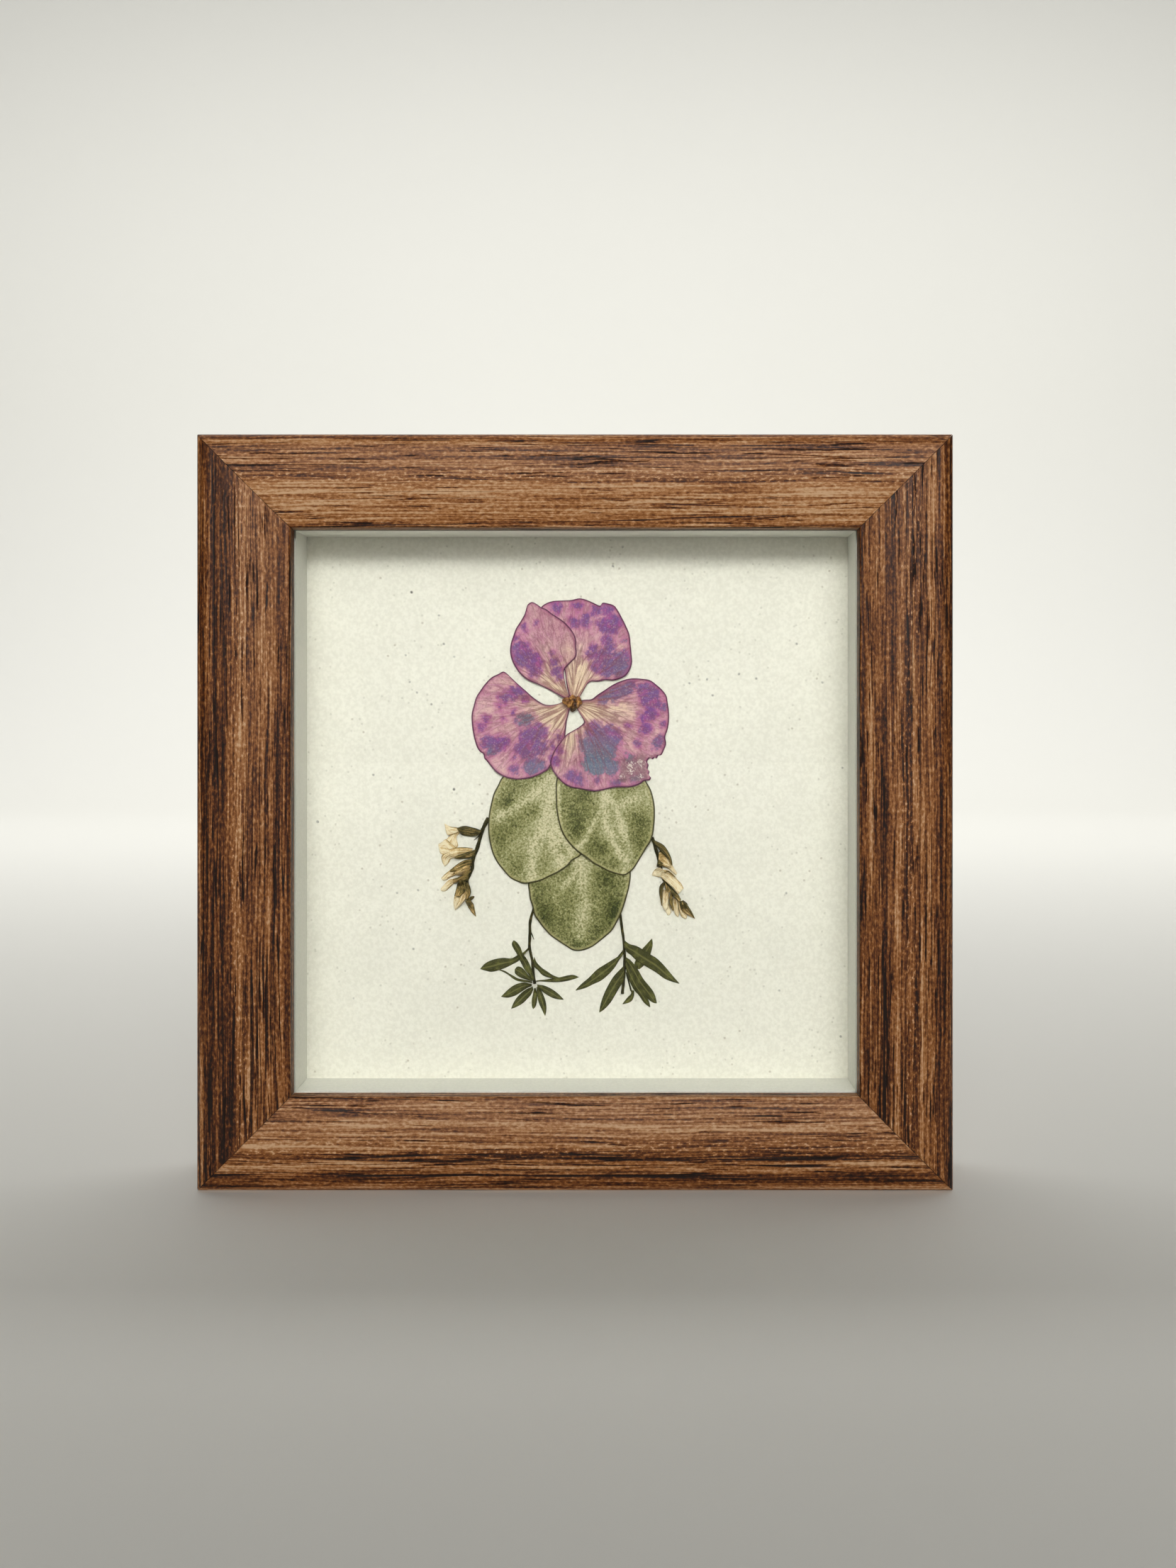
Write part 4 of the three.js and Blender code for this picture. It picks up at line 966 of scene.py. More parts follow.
LEFT_STALK = [
    (-8.3, -19.2), (-8.85, -21.0), (-9.2, -22.1), (-9.5, -23.7), (-9.5, -25.2), (-9.55, -26.8),
    (-9.6, -28.4), (-9.3, -30.0), (-9.0, -31.4), (-8.8, -33.9), (-8.5, -36.0),
]
LEFT_TWIGS = [
    ([(-9.55, -28.5), (-10.2, -29.2), (-10.9, -29.8), (-11.5, -30.3)], 0.4, 0.3),
    ([(-9.35, -25.2), (-9.0, -26.0), (-8.7, -26.9)], 0.3, 0.12),
]
LEFT_LEAVES = [
    [[(-9.7, -28.6), (-10.9, -29.6), (-12.2, -30.2), (-13.3, -30.8), (-15.0, -30.7), (-16.4, -30.9),
     (-17.7, -31.3), (-18.8, -31.9), (-19.7, -32.9)], [(-9.8, -28.9), (-11.0, -30.4), (-11.9, -31.4),
     (-13.0, -32.0), (-14.5, -32.75), (-16.4, -33.4), (-17.5, -33.6), (-18.5, -33.4), (-19.8, -33.0)]],
    [[(-8.9, -35.3), (-10.0, -33.9), (-10.7, -33.0), (-11.3, -31.8), (-12.1, -30.0), (-12.95, -28.7),
     (-13.25, -27.8), (-13.0, -27.2)], [(-8.6, -35.2), (-8.9, -33.6), (-9.6, -31.9), (-10.4, -30.5),
     (-11.1, -29.3), (-11.6, -28.3), (-12.3, -27.4), (-12.8, -27.1)]],
    [[(-9.0, -35.5), (-10.7, -35.2), (-12.0, -34.9), (-12.9, -34.4), (-13.8, -33.9), (-14.8, -33.3),
     (-15.8, -33.0)], [(-9.0, -35.8), (-10.7, -35.7), (-12.2, -35.4), (-13.1, -34.9), (-14.0, -34.2),
     (-15.0, -33.6), (-15.85, -33.2)]],
    [[(-8.6, -30.4), (-8.1, -31.6), (-7.1, -32.7), (-5.8, -33.6), (-4.7, -34.3), (-3.4, -34.8)],
     [(-8.8, -31.4), (-8.6, -32.4), (-7.9, -33.2), (-7.0, -34.2), (-5.6, -34.8), (-3.8, -35.0)]],
    [[(-8.2, -35.3), (-6.6, -35.2), (-4.6, -34.8), (-3.0, -34.6), (-1.6, -34.3), (-0.6, -34.2),
     (0.55, -34.65)], [(-8.2, -35.5), (-6.9, -35.6), (-5.2, -35.7), (-3.6, -35.7), (-2.0, -35.5),
     (-0.5, -35.1), (0.5, -34.75)]],
    [[(-9.1, -35.9), (-10.7, -35.7), (-12.3, -36.1), (-13.75, -37.0), (-14.7, -37.9), (-15.4, -38.6)],
     [(-9.1, -36.5), (-10.2, -37.0), (-11.4, -37.8), (-12.6, -38.5), (-14.1, -38.9), (-15.4, -38.75)]],
    [[(-8.9, -36.4), (-10.4, -37.2), (-11.6, -38.2), (-12.5, -39.3), (-13.0, -40.2), (-13.35, -41.1)],
     [(-8.8, -37.2), (-9.3, -38.3), (-10.1, -39.2), (-11.05, -40.1), (-12.3, -40.8), (-13.3, -41.2)]],
    [[(-8.6, -36.8), (-8.9, -38.2), (-9.15, -39.5), (-9.1, -40.6), (-8.9, -41.2)], [(-8.3, -36.8),
     (-8.0, -38.4), (-8.05, -39.6), (-8.35, -40.7), (-8.8, -41.25)]],
    [[(-8.1, -36.6), (-8.0, -38.2), (-7.65, -40.0), (-7.0, -41.5), (-6.45, -42.6)], [(-7.8, -36.5),
     (-6.95, -37.9), (-6.3, -39.6), (-6.1, -41.1), (-6.35, -42.65)]],
    [[(-8.0, -36.0), (-6.6, -36.4), (-5.05, -37.1), (-3.8, -38.0), (-2.6, -39.2)], [(-7.9, -36.5),
     (-7.0, -37.5), (-5.7, -38.5), (-4.4, -39.1), (-2.65, -39.35)]],
]
LEFT_SMALL_LEAF = [
    [(-8.9, -35.0), (-9.7, -34.2), (-10.5, -33.3), (-11.3, -32.6), (-12.1, -32.5), (-12.6, -33.0)],
    [(-9.0, -35.4), (-10.2, -35.1), (-11.2, -34.8), (-12.1, -34.3), (-12.6, -33.8), (-12.65, -33.2)],
]
RIGHT_STALK = [
    (8.6, -19.0), (9.05, -21.6), (9.3, -23.65), (9.5, -25.2), (9.7, -26.5), (9.8, -27.8), (9.85, -29.0),
    (10.0, -30.3), (9.95, -32.0), (9.9, -34.0), (9.7, -36.0), (9.5, -38.05),
]
RIGHT_TWIGS = [
    ([(9.8, -29.0), (9.3, -29.7), (8.7, -30.4)], 0.35, 0.3),
    ([(10.3, -33.6), (10.8, -35.6), (11.3, -37.5)], 0.3, 0.3),
]
RIGHT_LEAVES = [
    [[(12.6, -33.0), (12.0, -32.2), (12.4, -30.8), (13.5, -29.0), (14.5, -27.9), (15.5, -26.8)],
     [(13.1, -33.0), (14.0, -32.2), (14.9, -30.8), (15.4, -29.6), (15.75, -28.0), (15.65, -26.8)]],
    [[(9.9, -27.0), (10.97, -27.85), (12.2, -28.2), (13.65, -28.9), (15.2, -29.9), (16.7, -30.9),
     (18.2, -32.4), (19.8, -34.3), (21.2, -35.9)], [(9.9, -28.3), (10.4, -29.4), (11.3, -30.2),
     (12.4, -31.2), (14.1, -32.3), (15.4, -33.1), (16.7, -33.9), (18.2, -35.0), (20.0, -35.7),
     (21.2, -36.05)]],
    [[(9.7, -29.3), (8.4, -30.5), (7.0, -31.4), (5.7, -32.2), (4.3, -33.1), (2.7, -34.7), (1.0, -36.15),
     (-0.1, -37.3)], [(9.7, -29.8), (8.9, -31.1), (8.0, -32.6), (6.7, -34.1), (5.1, -35.4), (3.5, -36.15),
     (1.95, -36.9), (-0.05, -37.45)]],
    [[(9.8, -32.2), (9.0, -33.1), (7.8, -34.4), (6.7, -36.15), (5.7, -38.2), (5.0, -40.3), (4.75, -41.8)],
     [(9.9, -34.4), (9.6, -35.6), (8.9, -36.8), (7.95, -38.5), (7.0, -40.0), (5.9, -41.2), (4.85, -41.95)]],
    [[(11.2, -37.3), (11.3, -38.0), (10.6, -38.8), (9.95, -39.6), (9.55, -40.15)], [(11.9, -37.4),
     (11.9, -38.6), (11.4, -39.6), (10.65, -40.0), (9.6, -40.25)]],
    [[(10.3, -30.5), (11.3, -31.3), (12.2, -32.3), (13.0, -33.6), (13.8, -35.0), (15.1, -36.6),
     (15.9, -37.7), (16.4, -39.0), (16.6, -40.0)], [(10.1, -31.2), (10.9, -33.0), (11.7, -34.8),
     (12.5, -36.2), (13.6, -37.8), (14.6, -39.0), (15.4, -39.7), (16.0, -40.0), (16.5, -40.1)]],
    [[(10.3, -31.0), (11.2, -32.9), (12.2, -34.6), (13.1, -36.4), (14.1, -38.1), (14.9, -39.4),
     (15.25, -40.7)], [(10.1, -32.2), (10.6, -34.4), (11.2, -36.0), (12.1, -37.5), (12.9, -38.4),
     (14.0, -40.0), (15.15, -40.9)]],
]


def leaflet_finish(s):
    f = Finish("dark_leaflet")
    place = f.object_place()
    across = abs(f.attribute("across"))
    mottle = f.noise(place, 900, 4, 0.6)
    fine = f.noise(place, 4200, 2)
    base = f.mix(f.step(mottle, 0.3, 0.72), times(s.leaflet, 0.55), s.leaflet)
    base = f.coats(
        base, (mottle, 0.5, 0.7, 0.6, "75753e"), (across, 0.22, 0.04, 0.6, "827e48"),
        (across, 0.75, 1.0, 0.5, "232110"), (fine, 0.5, 0.8, 0.25, "807b4c"),
    )
    height = mottle * 0.6 + fine * 0.4
    return f.surface(base, 0.75, f.bump(height, 0.04, 0.7), Specular_IOR_Level=0.15)


def stalk_finish(s):
    f = Finish("dry_stalk")
    place = f.object_place()
    streak = f.noise(place, 1500, 4, 0.6)
    base = f.mix(f.step(streak, 0.35, 0.7), times(s.stalk, 0.6), s.stalk)
    base = f.coats(base, (streak, 0.55, 0.75, 0.6, "7a6c3e"))
    return f.surface(base, 0.75, f.bump(streak, 0.03, 0.7), Specular_IOR_Level=0.15)


def make_stalk(name, main, twigs, material):
    piece = Piece(f"{name}_skin")
    for number, (path, start, end) in enumerate([main, *twigs]):
        rows, along, across = stalk_rows(path, start, end, 31 + number)
        piece.skin(rows, along=along, across=across)
    piece.make(material, "stalk", [name])


class PRESSED_OT_feet(bpy.types.Operator):
    """Lay the two sprigs of small dark leaves"""

    bl_idname = "pressed.feet"
    bl_label = "Foot sprigs"

    def execute(self, context):
        s = context.scene.pressed_plants
        stem = stalk_finish(s)
        green = leaflet_finish(s)
        make_stalk("foot_left_stalk", (LEFT_STALK, 0.55, 0.6), LEFT_TWIGS, stem)
        make_stalk("foot_right_stalk", (RIGHT_STALK, 0.5, 0.6), RIGHT_TWIGS, stem)
        leaf_thickness = 0.2
        leaves = [(f"foot_left_leaf_{k + 1}", edges) for k, edges in enumerate(LEFT_LEAVES)]
        leaves.insert(3, ("foot_left_leaf_small", LEFT_SMALL_LEAF))
        leaves += [(f"foot_right_leaf_{k + 1}", edges) for k, edges in enumerate(RIGHT_LEAVES)]
        for number, (name, edges) in enumerate(leaves):
            rows, along, across = blade_rows(edges, leaf_thickness, 50 + number, groove=0.1)
            piece = Piece(f"{name}_skin")
            piece.skin(rows, along=along, across=across)
            piece.make(green, "leaflet", [name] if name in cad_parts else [])
        return {"FINISHED"}


# Arms: sprigs of small dry florets

LEFT_ARM_STALK = [
    (-18.0, -1.9), (-18.7, -3.2), (-19.4, -4.8), (-19.9, -6.6), (-20.4, -8.3), (-20.9, -9.6),
    (-21.3, -10.8), (-21.35, -12.2), (-21.9, -13.6), (-22.4, -14.8), (-22.2, -16.2), (-22.0, -17.4),
    (-22.5, -18.8),
]
RIGHT_ARM_STALK = [
    (15.6, -5.9), (16.0, -7.0), (16.4, -8.4), (16.8, -9.8), (17.1, -11.2), (17.5, -12.6), (17.9, -14.4),
    (18.7, -15.65), (19.5, -16.4), (20.3, -17.3), (21.4, -18.8),
]
# Each floret is a list of blades: two edges, the tone at the base and at the tip (0 is dark green
# brown, 1 is cream) and the thickness.
LEFT_FLORETS = [
    [([(-24.0, -3.9), (-24.9, -4.6), (-26.0, -5.6), (-26.9, -6.6), (-27.4, -7.2)], [(-23.8, -4.9),
      (-24.5, -5.7), (-24.5, -6.6), (-24.3, -7.6), (-24.6, -8.1)], 0.72, 0.8, 0.2),
     ([(-24.0, -3.9), (-25.0, -3.8), (-25.9, -3.7), (-26.5, -3.4), (-27.1, -3.05)], [(-24.2, -4.9),
      (-25.4, -5.3), (-26.4, -5.4), (-26.8, -4.6), (-27.0, -3.5)], 0.7, 0.88, 0.25),
     ([(-19.4, -4.4), (-20.4, -4.1), (-21.6, -3.8), (-22.8, -3.55), (-23.8, -3.7), (-24.5, -4.0)],
      [(-19.6, -5.1), (-20.4, -5.5), (-21.4, -5.75), (-22.6, -5.65), (-23.5, -5.4), (-24.2, -4.4)],
      0.0, 0.12, 0.4)],
    [([(-24.6, -8.0), (-25.6, -7.2), (-26.8, -6.3), (-27.6, -6.9), (-28.35, -7.3)], [(-24.8, -9.4),
      (-26.0, -9.4), (-27.0, -9.6), (-27.9, -9.2), (-28.2, -8.4)], 0.7, 0.9, 0.22),
     ([(-24.2, -8.8), (-25.2, -8.9), (-26.4, -9.0), (-27.6, -9.7), (-27.6, -10.8), (-27.15, -11.8)],
      [(-24.2, -9.9), (-25.0, -10.2), (-25.8, -10.4), (-26.1, -11.0), (-26.5, -11.5), (-27.0, -11.9)],
      0.66, 0.85, 0.22),
     ([(-21.2, -8.2), (-22.4, -8.0), (-23.6, -7.95), (-24.8, -8.0), (-25.9, -8.3)], [(-21.6, -9.0),
      (-22.8, -9.2), (-24.0, -9.6), (-25.2, -9.9), (-26.0, -9.4)], 0.45, 0.7, 0.35),
     ([(-20.6, -8.3), (-21.4, -8.6), (-22.4, -8.9), (-23.4, -9.3), (-24.8, -9.9)], [(-20.9, -9.7),
      (-21.6, -10.1), (-22.8, -10.3), (-23.9, -10.35), (-24.9, -10.2)], 0.0, 0.15, 0.4)],
    [([(-24.0, -11.4), (-25.0, -12.0), (-26.0, -12.7), (-27.0, -13.5), (-27.75, -14.3)], [(-24.2, -13.4),
      (-25.0, -13.8), (-26.0, -14.2), (-26.7, -14.7), (-27.4, -14.8)], 0.5, 0.86, 0.4),
     ([(-21.4, -10.3), (-22.6, -10.4), (-23.8, -11.0), (-24.8, -11.7), (-25.9, -12.6)], [(-21.5, -11.8),
      (-22.6, -12.2), (-23.6, -12.6), (-24.6, -12.8), (-25.8, -13.0)], 0.1, 0.3, 0.45),
     ([(-21.8, -11.4), (-22.8, -11.6), (-23.8, -12.2), (-24.8, -12.9)], [(-21.6, -13.0), (-22.6, -13.4),
      (-23.6, -13.7), (-24.6, -13.7)], 0.3, 0.62, 0.4)],
    [([(-23.8, -13.9), (-25.0, -14.3), (-26.2, -14.7), (-27.2, -15.7), (-27.9, -16.5)], [(-24.2, -14.9),
      (-25.2, -15.5), (-26.2, -16.4), (-27.0, -17.0), (-27.7, -17.0)], 0.55, 0.9, 0.4),
     ([(-21.5, -12.2), (-22.2, -12.8), (-23.2, -13.5), (-24.2, -14.0), (-25.2, -14.4)], [(-22.4, -14.7),
      (-22.9, -14.9), (-23.8, -14.9), (-24.6, -15.2), (-25.3, -15.2)], 0.05, 0.4, 0.4)],
    [([(-24.2, -16.2), (-24.8, -17.2), (-25.1, -18.4), (-25.2, -19.6), (-25.05, -20.8)], [(-23.4, -16.8),
      (-23.4, -17.8), (-23.6, -18.8), (-24.0, -19.8), (-24.9, -20.85)], 0.6, 0.92, 0.3),
     ([(-23.4, -16.8), (-23.7, -17.8), (-24.0, -18.8), (-24.5, -19.8), (-24.9, -20.8)], [(-22.0, -17.2),
      (-22.2, -18.2), (-22.9, -18.9), (-23.8, -19.9), (-24.85, -20.9)], 0.5, 0.85, 0.3),
     ([(-23.9, -14.5), (-24.4, -15.6), (-24.7, -16.7), (-25.0, -17.9)], [(-22.8, -14.8), (-22.6, -15.9),
      (-22.9, -17.0), (-23.8, -18.0)], 0.02, 0.3, 0.4),
     ([(-22.9, -14.9), (-22.8, -16.0), (-22.6, -17.2), (-22.7, -18.4)], [(-22.2, -15.0), (-21.7, -16.2),
      (-21.6, -17.4), (-22.2, -18.6)], 0.05, 0.35, 0.4)],
    [([(-22.0, -18.4), (-21.7, -18.0), (-21.2, -17.9), (-20.95, -18.0)], [(-22.2, -19.0), (-21.7, -18.9),
      (-21.2, -18.6), (-20.9, -18.2)], 0.2, 0.02, 0.3),
     ([(-22.7, -18.8), (-22.4, -19.9), (-21.8, -20.9), (-21.2, -21.7), (-20.65, -22.25)], [(-21.6, -18.5),
      (-21.2, -19.2), (-20.95, -20.2), (-20.75, -21.2), (-20.6, -22.15)], 0.1, 0.4, 0.45)],
]
RIGHT_FLORETS = [
    [([(17.6, -9.6), (18.6, -10.2), (19.5, -11.2), (20.1, -12.2), (20.8, -13.3)], [(17.2, -11.6),
      (18.2, -12.0), (19.0, -12.4), (19.8, -13.1), (20.5, -13.7)], 0.55, 0.85, 0.35),
     ([(17.0, -8.8), (17.9, -8.6), (18.8, -9.4), (19.3, -10.6), (19.6, -11.8)], [(16.9, -11.4),
      (17.4, -11.7), (18.0, -11.8), (18.7, -11.9), (19.4, -12.0)], 0.45, 0.72, 0.4),
     ([(16.0, -6.4), (17.0, -6.9), (18.0, -7.5), (18.9, -8.7), (19.5, -10.0), (19.8, -11.4)], [(16.2, -7.4),
      (16.9, -8.2), (17.5, -8.9), (18.3, -9.6), (18.9, -10.4), (19.6, -11.6)], 0.0, 0.1, 0.45),
     ([(16.8, -10.4), (17.3, -10.7), (17.9, -11.1)], [(16.5, -11.9), (17.2, -11.8), (17.8, -11.5)],
      0.0, 0.1, 0.45)],
    [([(17.2, -11.9), (16.5, -12.2), (15.9, -12.9), (15.55, -13.6)], [(18.6, -13.0), (17.8, -13.9),
      (16.8, -14.0), (15.7, -13.85)], 0.8, 0.95, 0.22),
     ([(17.6, -12.4), (18.8, -12.6), (19.9, -13.4), (20.8, -14.6), (21.6, -15.4), (22.1, -16.4)],
      [(17.4, -14.0), (18.2, -14.8), (19.2, -15.6), (20.1, -16.4), (20.9, -17.5), (21.4, -17.2)],
      0.75, 0.9, 0.28),
     ([(18.0, -12.7), (18.7, -12.6), (19.5, -13.1), (20.4, -13.9)], [(18.2, -13.1), (18.9, -12.9),
      (19.6, -13.5), (20.3, -14.1)], 0.2, 0.1, 0.3)],
    [([(18.2, -19.6), (18.1, -20.4), (18.5, -21.3), (18.8, -21.95)], [(19.1, -19.6), (19.4, -20.6),
      (19.5, -21.4), (19.2, -21.95)], 0.85, 0.95, 0.2),
     ([(17.9, -16.6), (17.7, -18.0), (17.6, -19.4), (18.0, -20.6), (18.2, -20.9)], [(19.2, -16.8),
      (19.1, -18.0), (19.0, -19.2), (18.9, -20.4), (18.4, -20.9)], 0.65, 0.93, 0.4),
     ([(17.9, -15.0), (17.2, -15.9), (17.05, -17.2), (17.3, -18.6), (17.5, -19.9)], [(18.3, -15.4),
      (17.9, -16.4), (17.7, -17.4), (17.7, -18.6), (17.7, -19.8)], 0.0, 0.12, 0.45),
     ([(18.2, -15.0), (18.2, -16.0), (18.4, -16.9)], [(19.0, -16.0), (19.5, -16.6), (19.6, -17.3)],
      0.15, 0.35, 0.4)],
    [([(19.8, -18.4), (19.8, -19.6), (20.1, -20.8), (20.4, -21.8), (20.9, -22.3)], [(20.9, -18.6),
      (21.1, -19.8), (21.1, -20.8), (21.2, -21.6), (21.1, -22.2)], 0.6, 0.85, 0.35),
     ([(20.8, -18.8), (21.0, -20.2), (21.3, -21.4), (21.9, -22.4), (22.5, -22.75)], [(21.4, -18.8),
      (21.9, -20.0), (22.4, -21.0), (22.8, -21.8), (22.75, -22.5)], 0.55, 0.8, 0.35),
     ([(19.3, -17.2), (19.1, -18.6), (19.2, -19.7), (19.8, -20.9)], [(20.0, -17.0), (19.9, -18.2),
      (19.9, -19.6), (20.1, -20.9)], 0.05, 0.3, 0.42),
     ([(19.3, -16.2), (20.2, -16.9), (21.0, -17.6), (21.5, -18.6)], [(19.6, -17.4), (20.2, -18.2),
      (20.8, -18.8), (21.2, -19.2)], 0.0, 0.2, 0.42)],
    [([(21.2, -19.4), (21.6, -20.6), (22.2, -21.3), (23.2, -22.0), (24.3, -22.6)], [(22.2, -19.2),
      (22.8, -20.2), (23.3, -21.0), (23.9, -21.8), (24.45, -22.6)], 0.35, 0.5, 0.4),
     ([(21.2, -18.8), (21.3, -19.6), (21.6, -20.4)], [(22.0, -18.7), (22.8, -19.4), (23.0, -20.4)],
      0.0, 0.12, 0.45),
     ([(22.4, -19.0), (23.1, -20.0), (23.8, -21.2), (24.4, -22.5)], [(22.1, -19.2), (22.8, -20.4),
      (23.4, -21.3), (24.3, -22.6)], 0.05, 0.2, 0.4)],
]


def floret_finish():
    f = Finish("dry_floret")
    tone = f.attribute("tone")
    across = f.attribute("across")
    along = f.attribute("along")
    number = f.attribute("blade")
    streak = f.noise(f.join(along * 2.0, across * 3.2 + number * 3.7, number), 1, 4, 0.7, 0.4)
    fine = f.noise(f.object_place(), 3200, 3)
    edges = f.step(abs(across), 0.72, 1)
    mixed = tone + 0.12 + (streak - 0.5) * 2.2 + (fine - 0.5) * 0.5 - edges * 0.35
    base = f.ramp(
        mixed.clamp(), (0.0, "2f2b14"), (0.15, "544b26"), (0.35, "84703e"), (0.55, "b4925c"),
        (0.75, "d9bd88"), (0.97, "efe1c0"),
    )
    height = streak * 0.7 + fine * 0.3
    return f.surface(base, 0.75, f.bump(height, 0.06, 0.8), Specular_IOR_Level=0.2)


def lay_florets(side, florets, material, seed):
    """Lays the florets of a sprig, the last of which is the bud at its tip."""
    for place, blades in enumerate(florets):
        last = place == len(florets) - 1
        name = f"arm_{side}_bud" if last else f"arm_{side}_floret_{place + 1}"
        piece = Piece(f"{name}_skin")
        for number, (one, other, base, tip, thickness) in enumerate(blades, seed + 10 * place):
            rows, along, across = blade_rows(
                (one, other), thickness, number, steps=44, columns=14, hump=0.12
            )
            tone = base + (tip - base) * along
            piece.skin(rows, along=along, across=across, tone=tone, blade=number)
        piece.make(material, "floret", [name])


class PRESSED_OT_arms(bpy.types.Operator):
    """Lay the two sprigs of dry florets"""

    bl_idname = "pressed.arms"
    bl_label = "Arm sprigs"

    def execute(self, context):
        stem = stalk_finish(context.scene.pressed_plants)
        dry = floret_finish()
        spur = ([(-19.7, -5.2), (-20.3, -5.9), (-21.0, -6.5)], 0.25, 0.1)
        make_stalk("arm_left_stalk", (LEFT_ARM_STALK, 0.9, 0.5), [spur], stem)
        make_stalk("arm_right_stalk", (RIGHT_ARM_STALK, 0.7, 0.5), [], stem)
        lay_florets("left", LEFT_FLORETS, dry, 100)
        lay_florets("right", RIGHT_FLORETS, dry, 200)
        return {"FINISHED"}


# Round leaves

LEAF_LOWER = [
    (-9.9, -15.5), (-9.7, -17.0), (-9.5, -18.5), (-9.0, -20.0), (-8.6, -21.8), (-7.7, -23.2), (-6.6, -24.7),
    (-5.3, -26.1), (-3.8, -27.2), (-2.1, -28.3), (-0.8, -29.1), (0.45, -29.3), (2.0, -29.0), (3.5, -28.3),
    (4.85, -27.3), (6.2, -26.2), (7.4, -25.0), (8.4, -23.3), (9.25, -21.6), (9.9, -19.8), (10.5, -17.8),
    (10.9, -16.3), (11.2, -14.5), (11.25, -13.3), (11.0, -11.0), (9.4, -7.8), (6.5, -5.6), (2.5, -4.5),
    (-2.0, -5.0), (-6.0, -7.8), (-9.0, -12.0),
]
LEAF_LEFT = [
    (-15.4, 6.2), (-16.1, 4.8), (-16.9, 3.3), (-17.4, 1.6), (-17.8, -0.45), (-18.0, -2.5), (-18.0, -4.5),
    (-17.8, -6.5), (-17.4, -8.5), (-16.8, -10.1), (-15.9, -11.6), (-14.75, -13.0), (-13.4, -14.4),
    (-11.9, -15.1), (-10.6, -15.4), (-9.1, -15.2), (-7.3, -14.8), (-5.8, -14.1), (-4.3, -13.4),
    (-3.1, -12.7), (-1.8, -11.8), (-0.7, -10.6), (0.95, -9.6), (2.0, -7.0), (2.2, -3.5), (1.2, 1.0),
    (-1.0, 5.5), (-4.5, 9.0), (-8.5, 10.3), (-12.5, 9.0),
]
LEAF_RIGHT = [
    (-4.1, 5.6), (-4.2, 3.8), (-4.15, 1.8), (-4.1, 0.3), (-3.8, -1.7), (-3.3, -3.7), (-2.7, -5.2),
    (-1.7, -6.7), (-0.55, -8.0), (0.7, -9.1), (2.2, -10.1), (3.7, -11.3), (5.0, -12.0), (6.5, -12.8),
    (8.2, -13.4), (9.9, -13.7), (10.75, -13.3), (11.8, -12.4), (12.8, -10.9), (13.8, -9.2), (14.5, -8.0),
    (15.3, -6.7), (15.8, -5.2), (16.1, -3.2), (16.2, -1.2), (16.15, 0.55), (15.9, 2.05), (15.4, 3.8),
    (14.6, 5.3), (12.5, 9.0), (8.0, 11.5), (3.0, 11.3), (-1.0, 9.5), (-3.4, 7.6),
]

# For each leaf its outline, its centre, its veins (path, half width) and its patches
# (right, up, radius, strength), dark above 0 and pale below.
LEAVES = {
    "leaf_lower": (
        LEAF_LOWER, (0.6, -17),
        [([(0.4, -6), (1.0, -12), (1.5, -19), (0.9, -27)], 1.5), ([(1.2, -12), (-2.5, -16)], 0.8)],
        [(8.0, -20.5, 2.4, 0.9), (-6.5, -22, 2.6, 0.6), (6.5, -14.5, 2.5, 0.7), (-7.5, -17, 1.8, 0.45),
         (1.0, -11, 3.4, -0.55), (10.7, -17, 1.1, -0.9), (10.9, -14, 1.1, -0.9), (10.0, -20.5, 0.9, -0.7),
         (0.5, -28, 2.0, 0.6), (4.5, -25, 2.2, 0.45), (-4, -16, 2.2, -0.2)],
    ),
    "leaf_left": (
        LEAF_LEFT, (-8, -3),
        [([(-4.6, 6), (-5.4, 1), (-7.0, -4), (-9.0, -9), (-9.3, -14.5)], 1.3),
         ([(-5.5, 6.5), (-8.5, 3.4), (-11.5, 1), (-15.8, -1.6)], 1.0),
         ([(-5.6, 0), (-3.6, -5), (-1.2, -9)], 1.3),
         ([(-6.5, -3), (-3.5, -9), (-3.0, -12)], 1.4)],
        [(-14.0, 1.6, 1.9, 1.0), (-15.4, -5.5, 2.2, 0.75), (-12.5, -3, 2.2, 0.5), (-12.2, 4.8, 1.8, 0.55),
         (-8.5, 5.3, 1.6, 0.3), (-12.5, -12.5, 2.2, 0.55), (-6.8, -11.8, 1.6, 0.5), (-3.2, -8.4, 1.1, 0.7),
         (-10, -1, 2.0, 0.4), (-5.0, -4, 3.0, -0.3), (-2.6, -10.8, 1.6, -0.4), (-7.8, 2.6, 1.5, -0.5),
         (-3.6, 3.5, 1.6, -0.2), (-15, -9, 2.0, 0.2)],
    ),
    "leaf_right": (
        LEAF_RIGHT, (6.4, -1.6),
        [([(5.6, 6), (5.7, 1), (6.0, -3), (7.6, -6.5), (9.6, -10), (10.2, -13)], 1.0),
         ([(5.4, 0.5), (3.4, -3.5), (1.6, -6.4), (0.2, -8.3)], 0.55),
         ([(6.2, 2), (9.0, 0.5), (12.5, 2.5)], 0.9),
         ([(8.2, 0), (9.6, -4), (10.8, -8.5)], 0.8), ([(-3.6, 5), (-3.5, 1), (-3.1, -3)], 0.35)],
        [(-0.5, -1.5, 3.0, 0.75), (1.0, 2.8, 3.0, 0.5), (0.4, -4.6, 1.8, 0.6), (4.6, -7.8, 2.4, 0.8),
         (13.0, -3.0, 2.4, 0.8), (12.6, -7.4, 2.0, 0.6), (7.5, -10.8, 1.8, 0.5), (9.4, 4.6, 2.0, 0.3),
         (8.4, -4.4, 2.2, -0.5), (6.2, 2.6, 1.5, -0.6), (13.4, 1.6, 2.2, -0.1), (15.2, 3, 1.4, -0.4),
         (3.6, -1.0, 1.5, 0.2), (10.8, -9.8, 1.0, -0.3)],
    ),
}


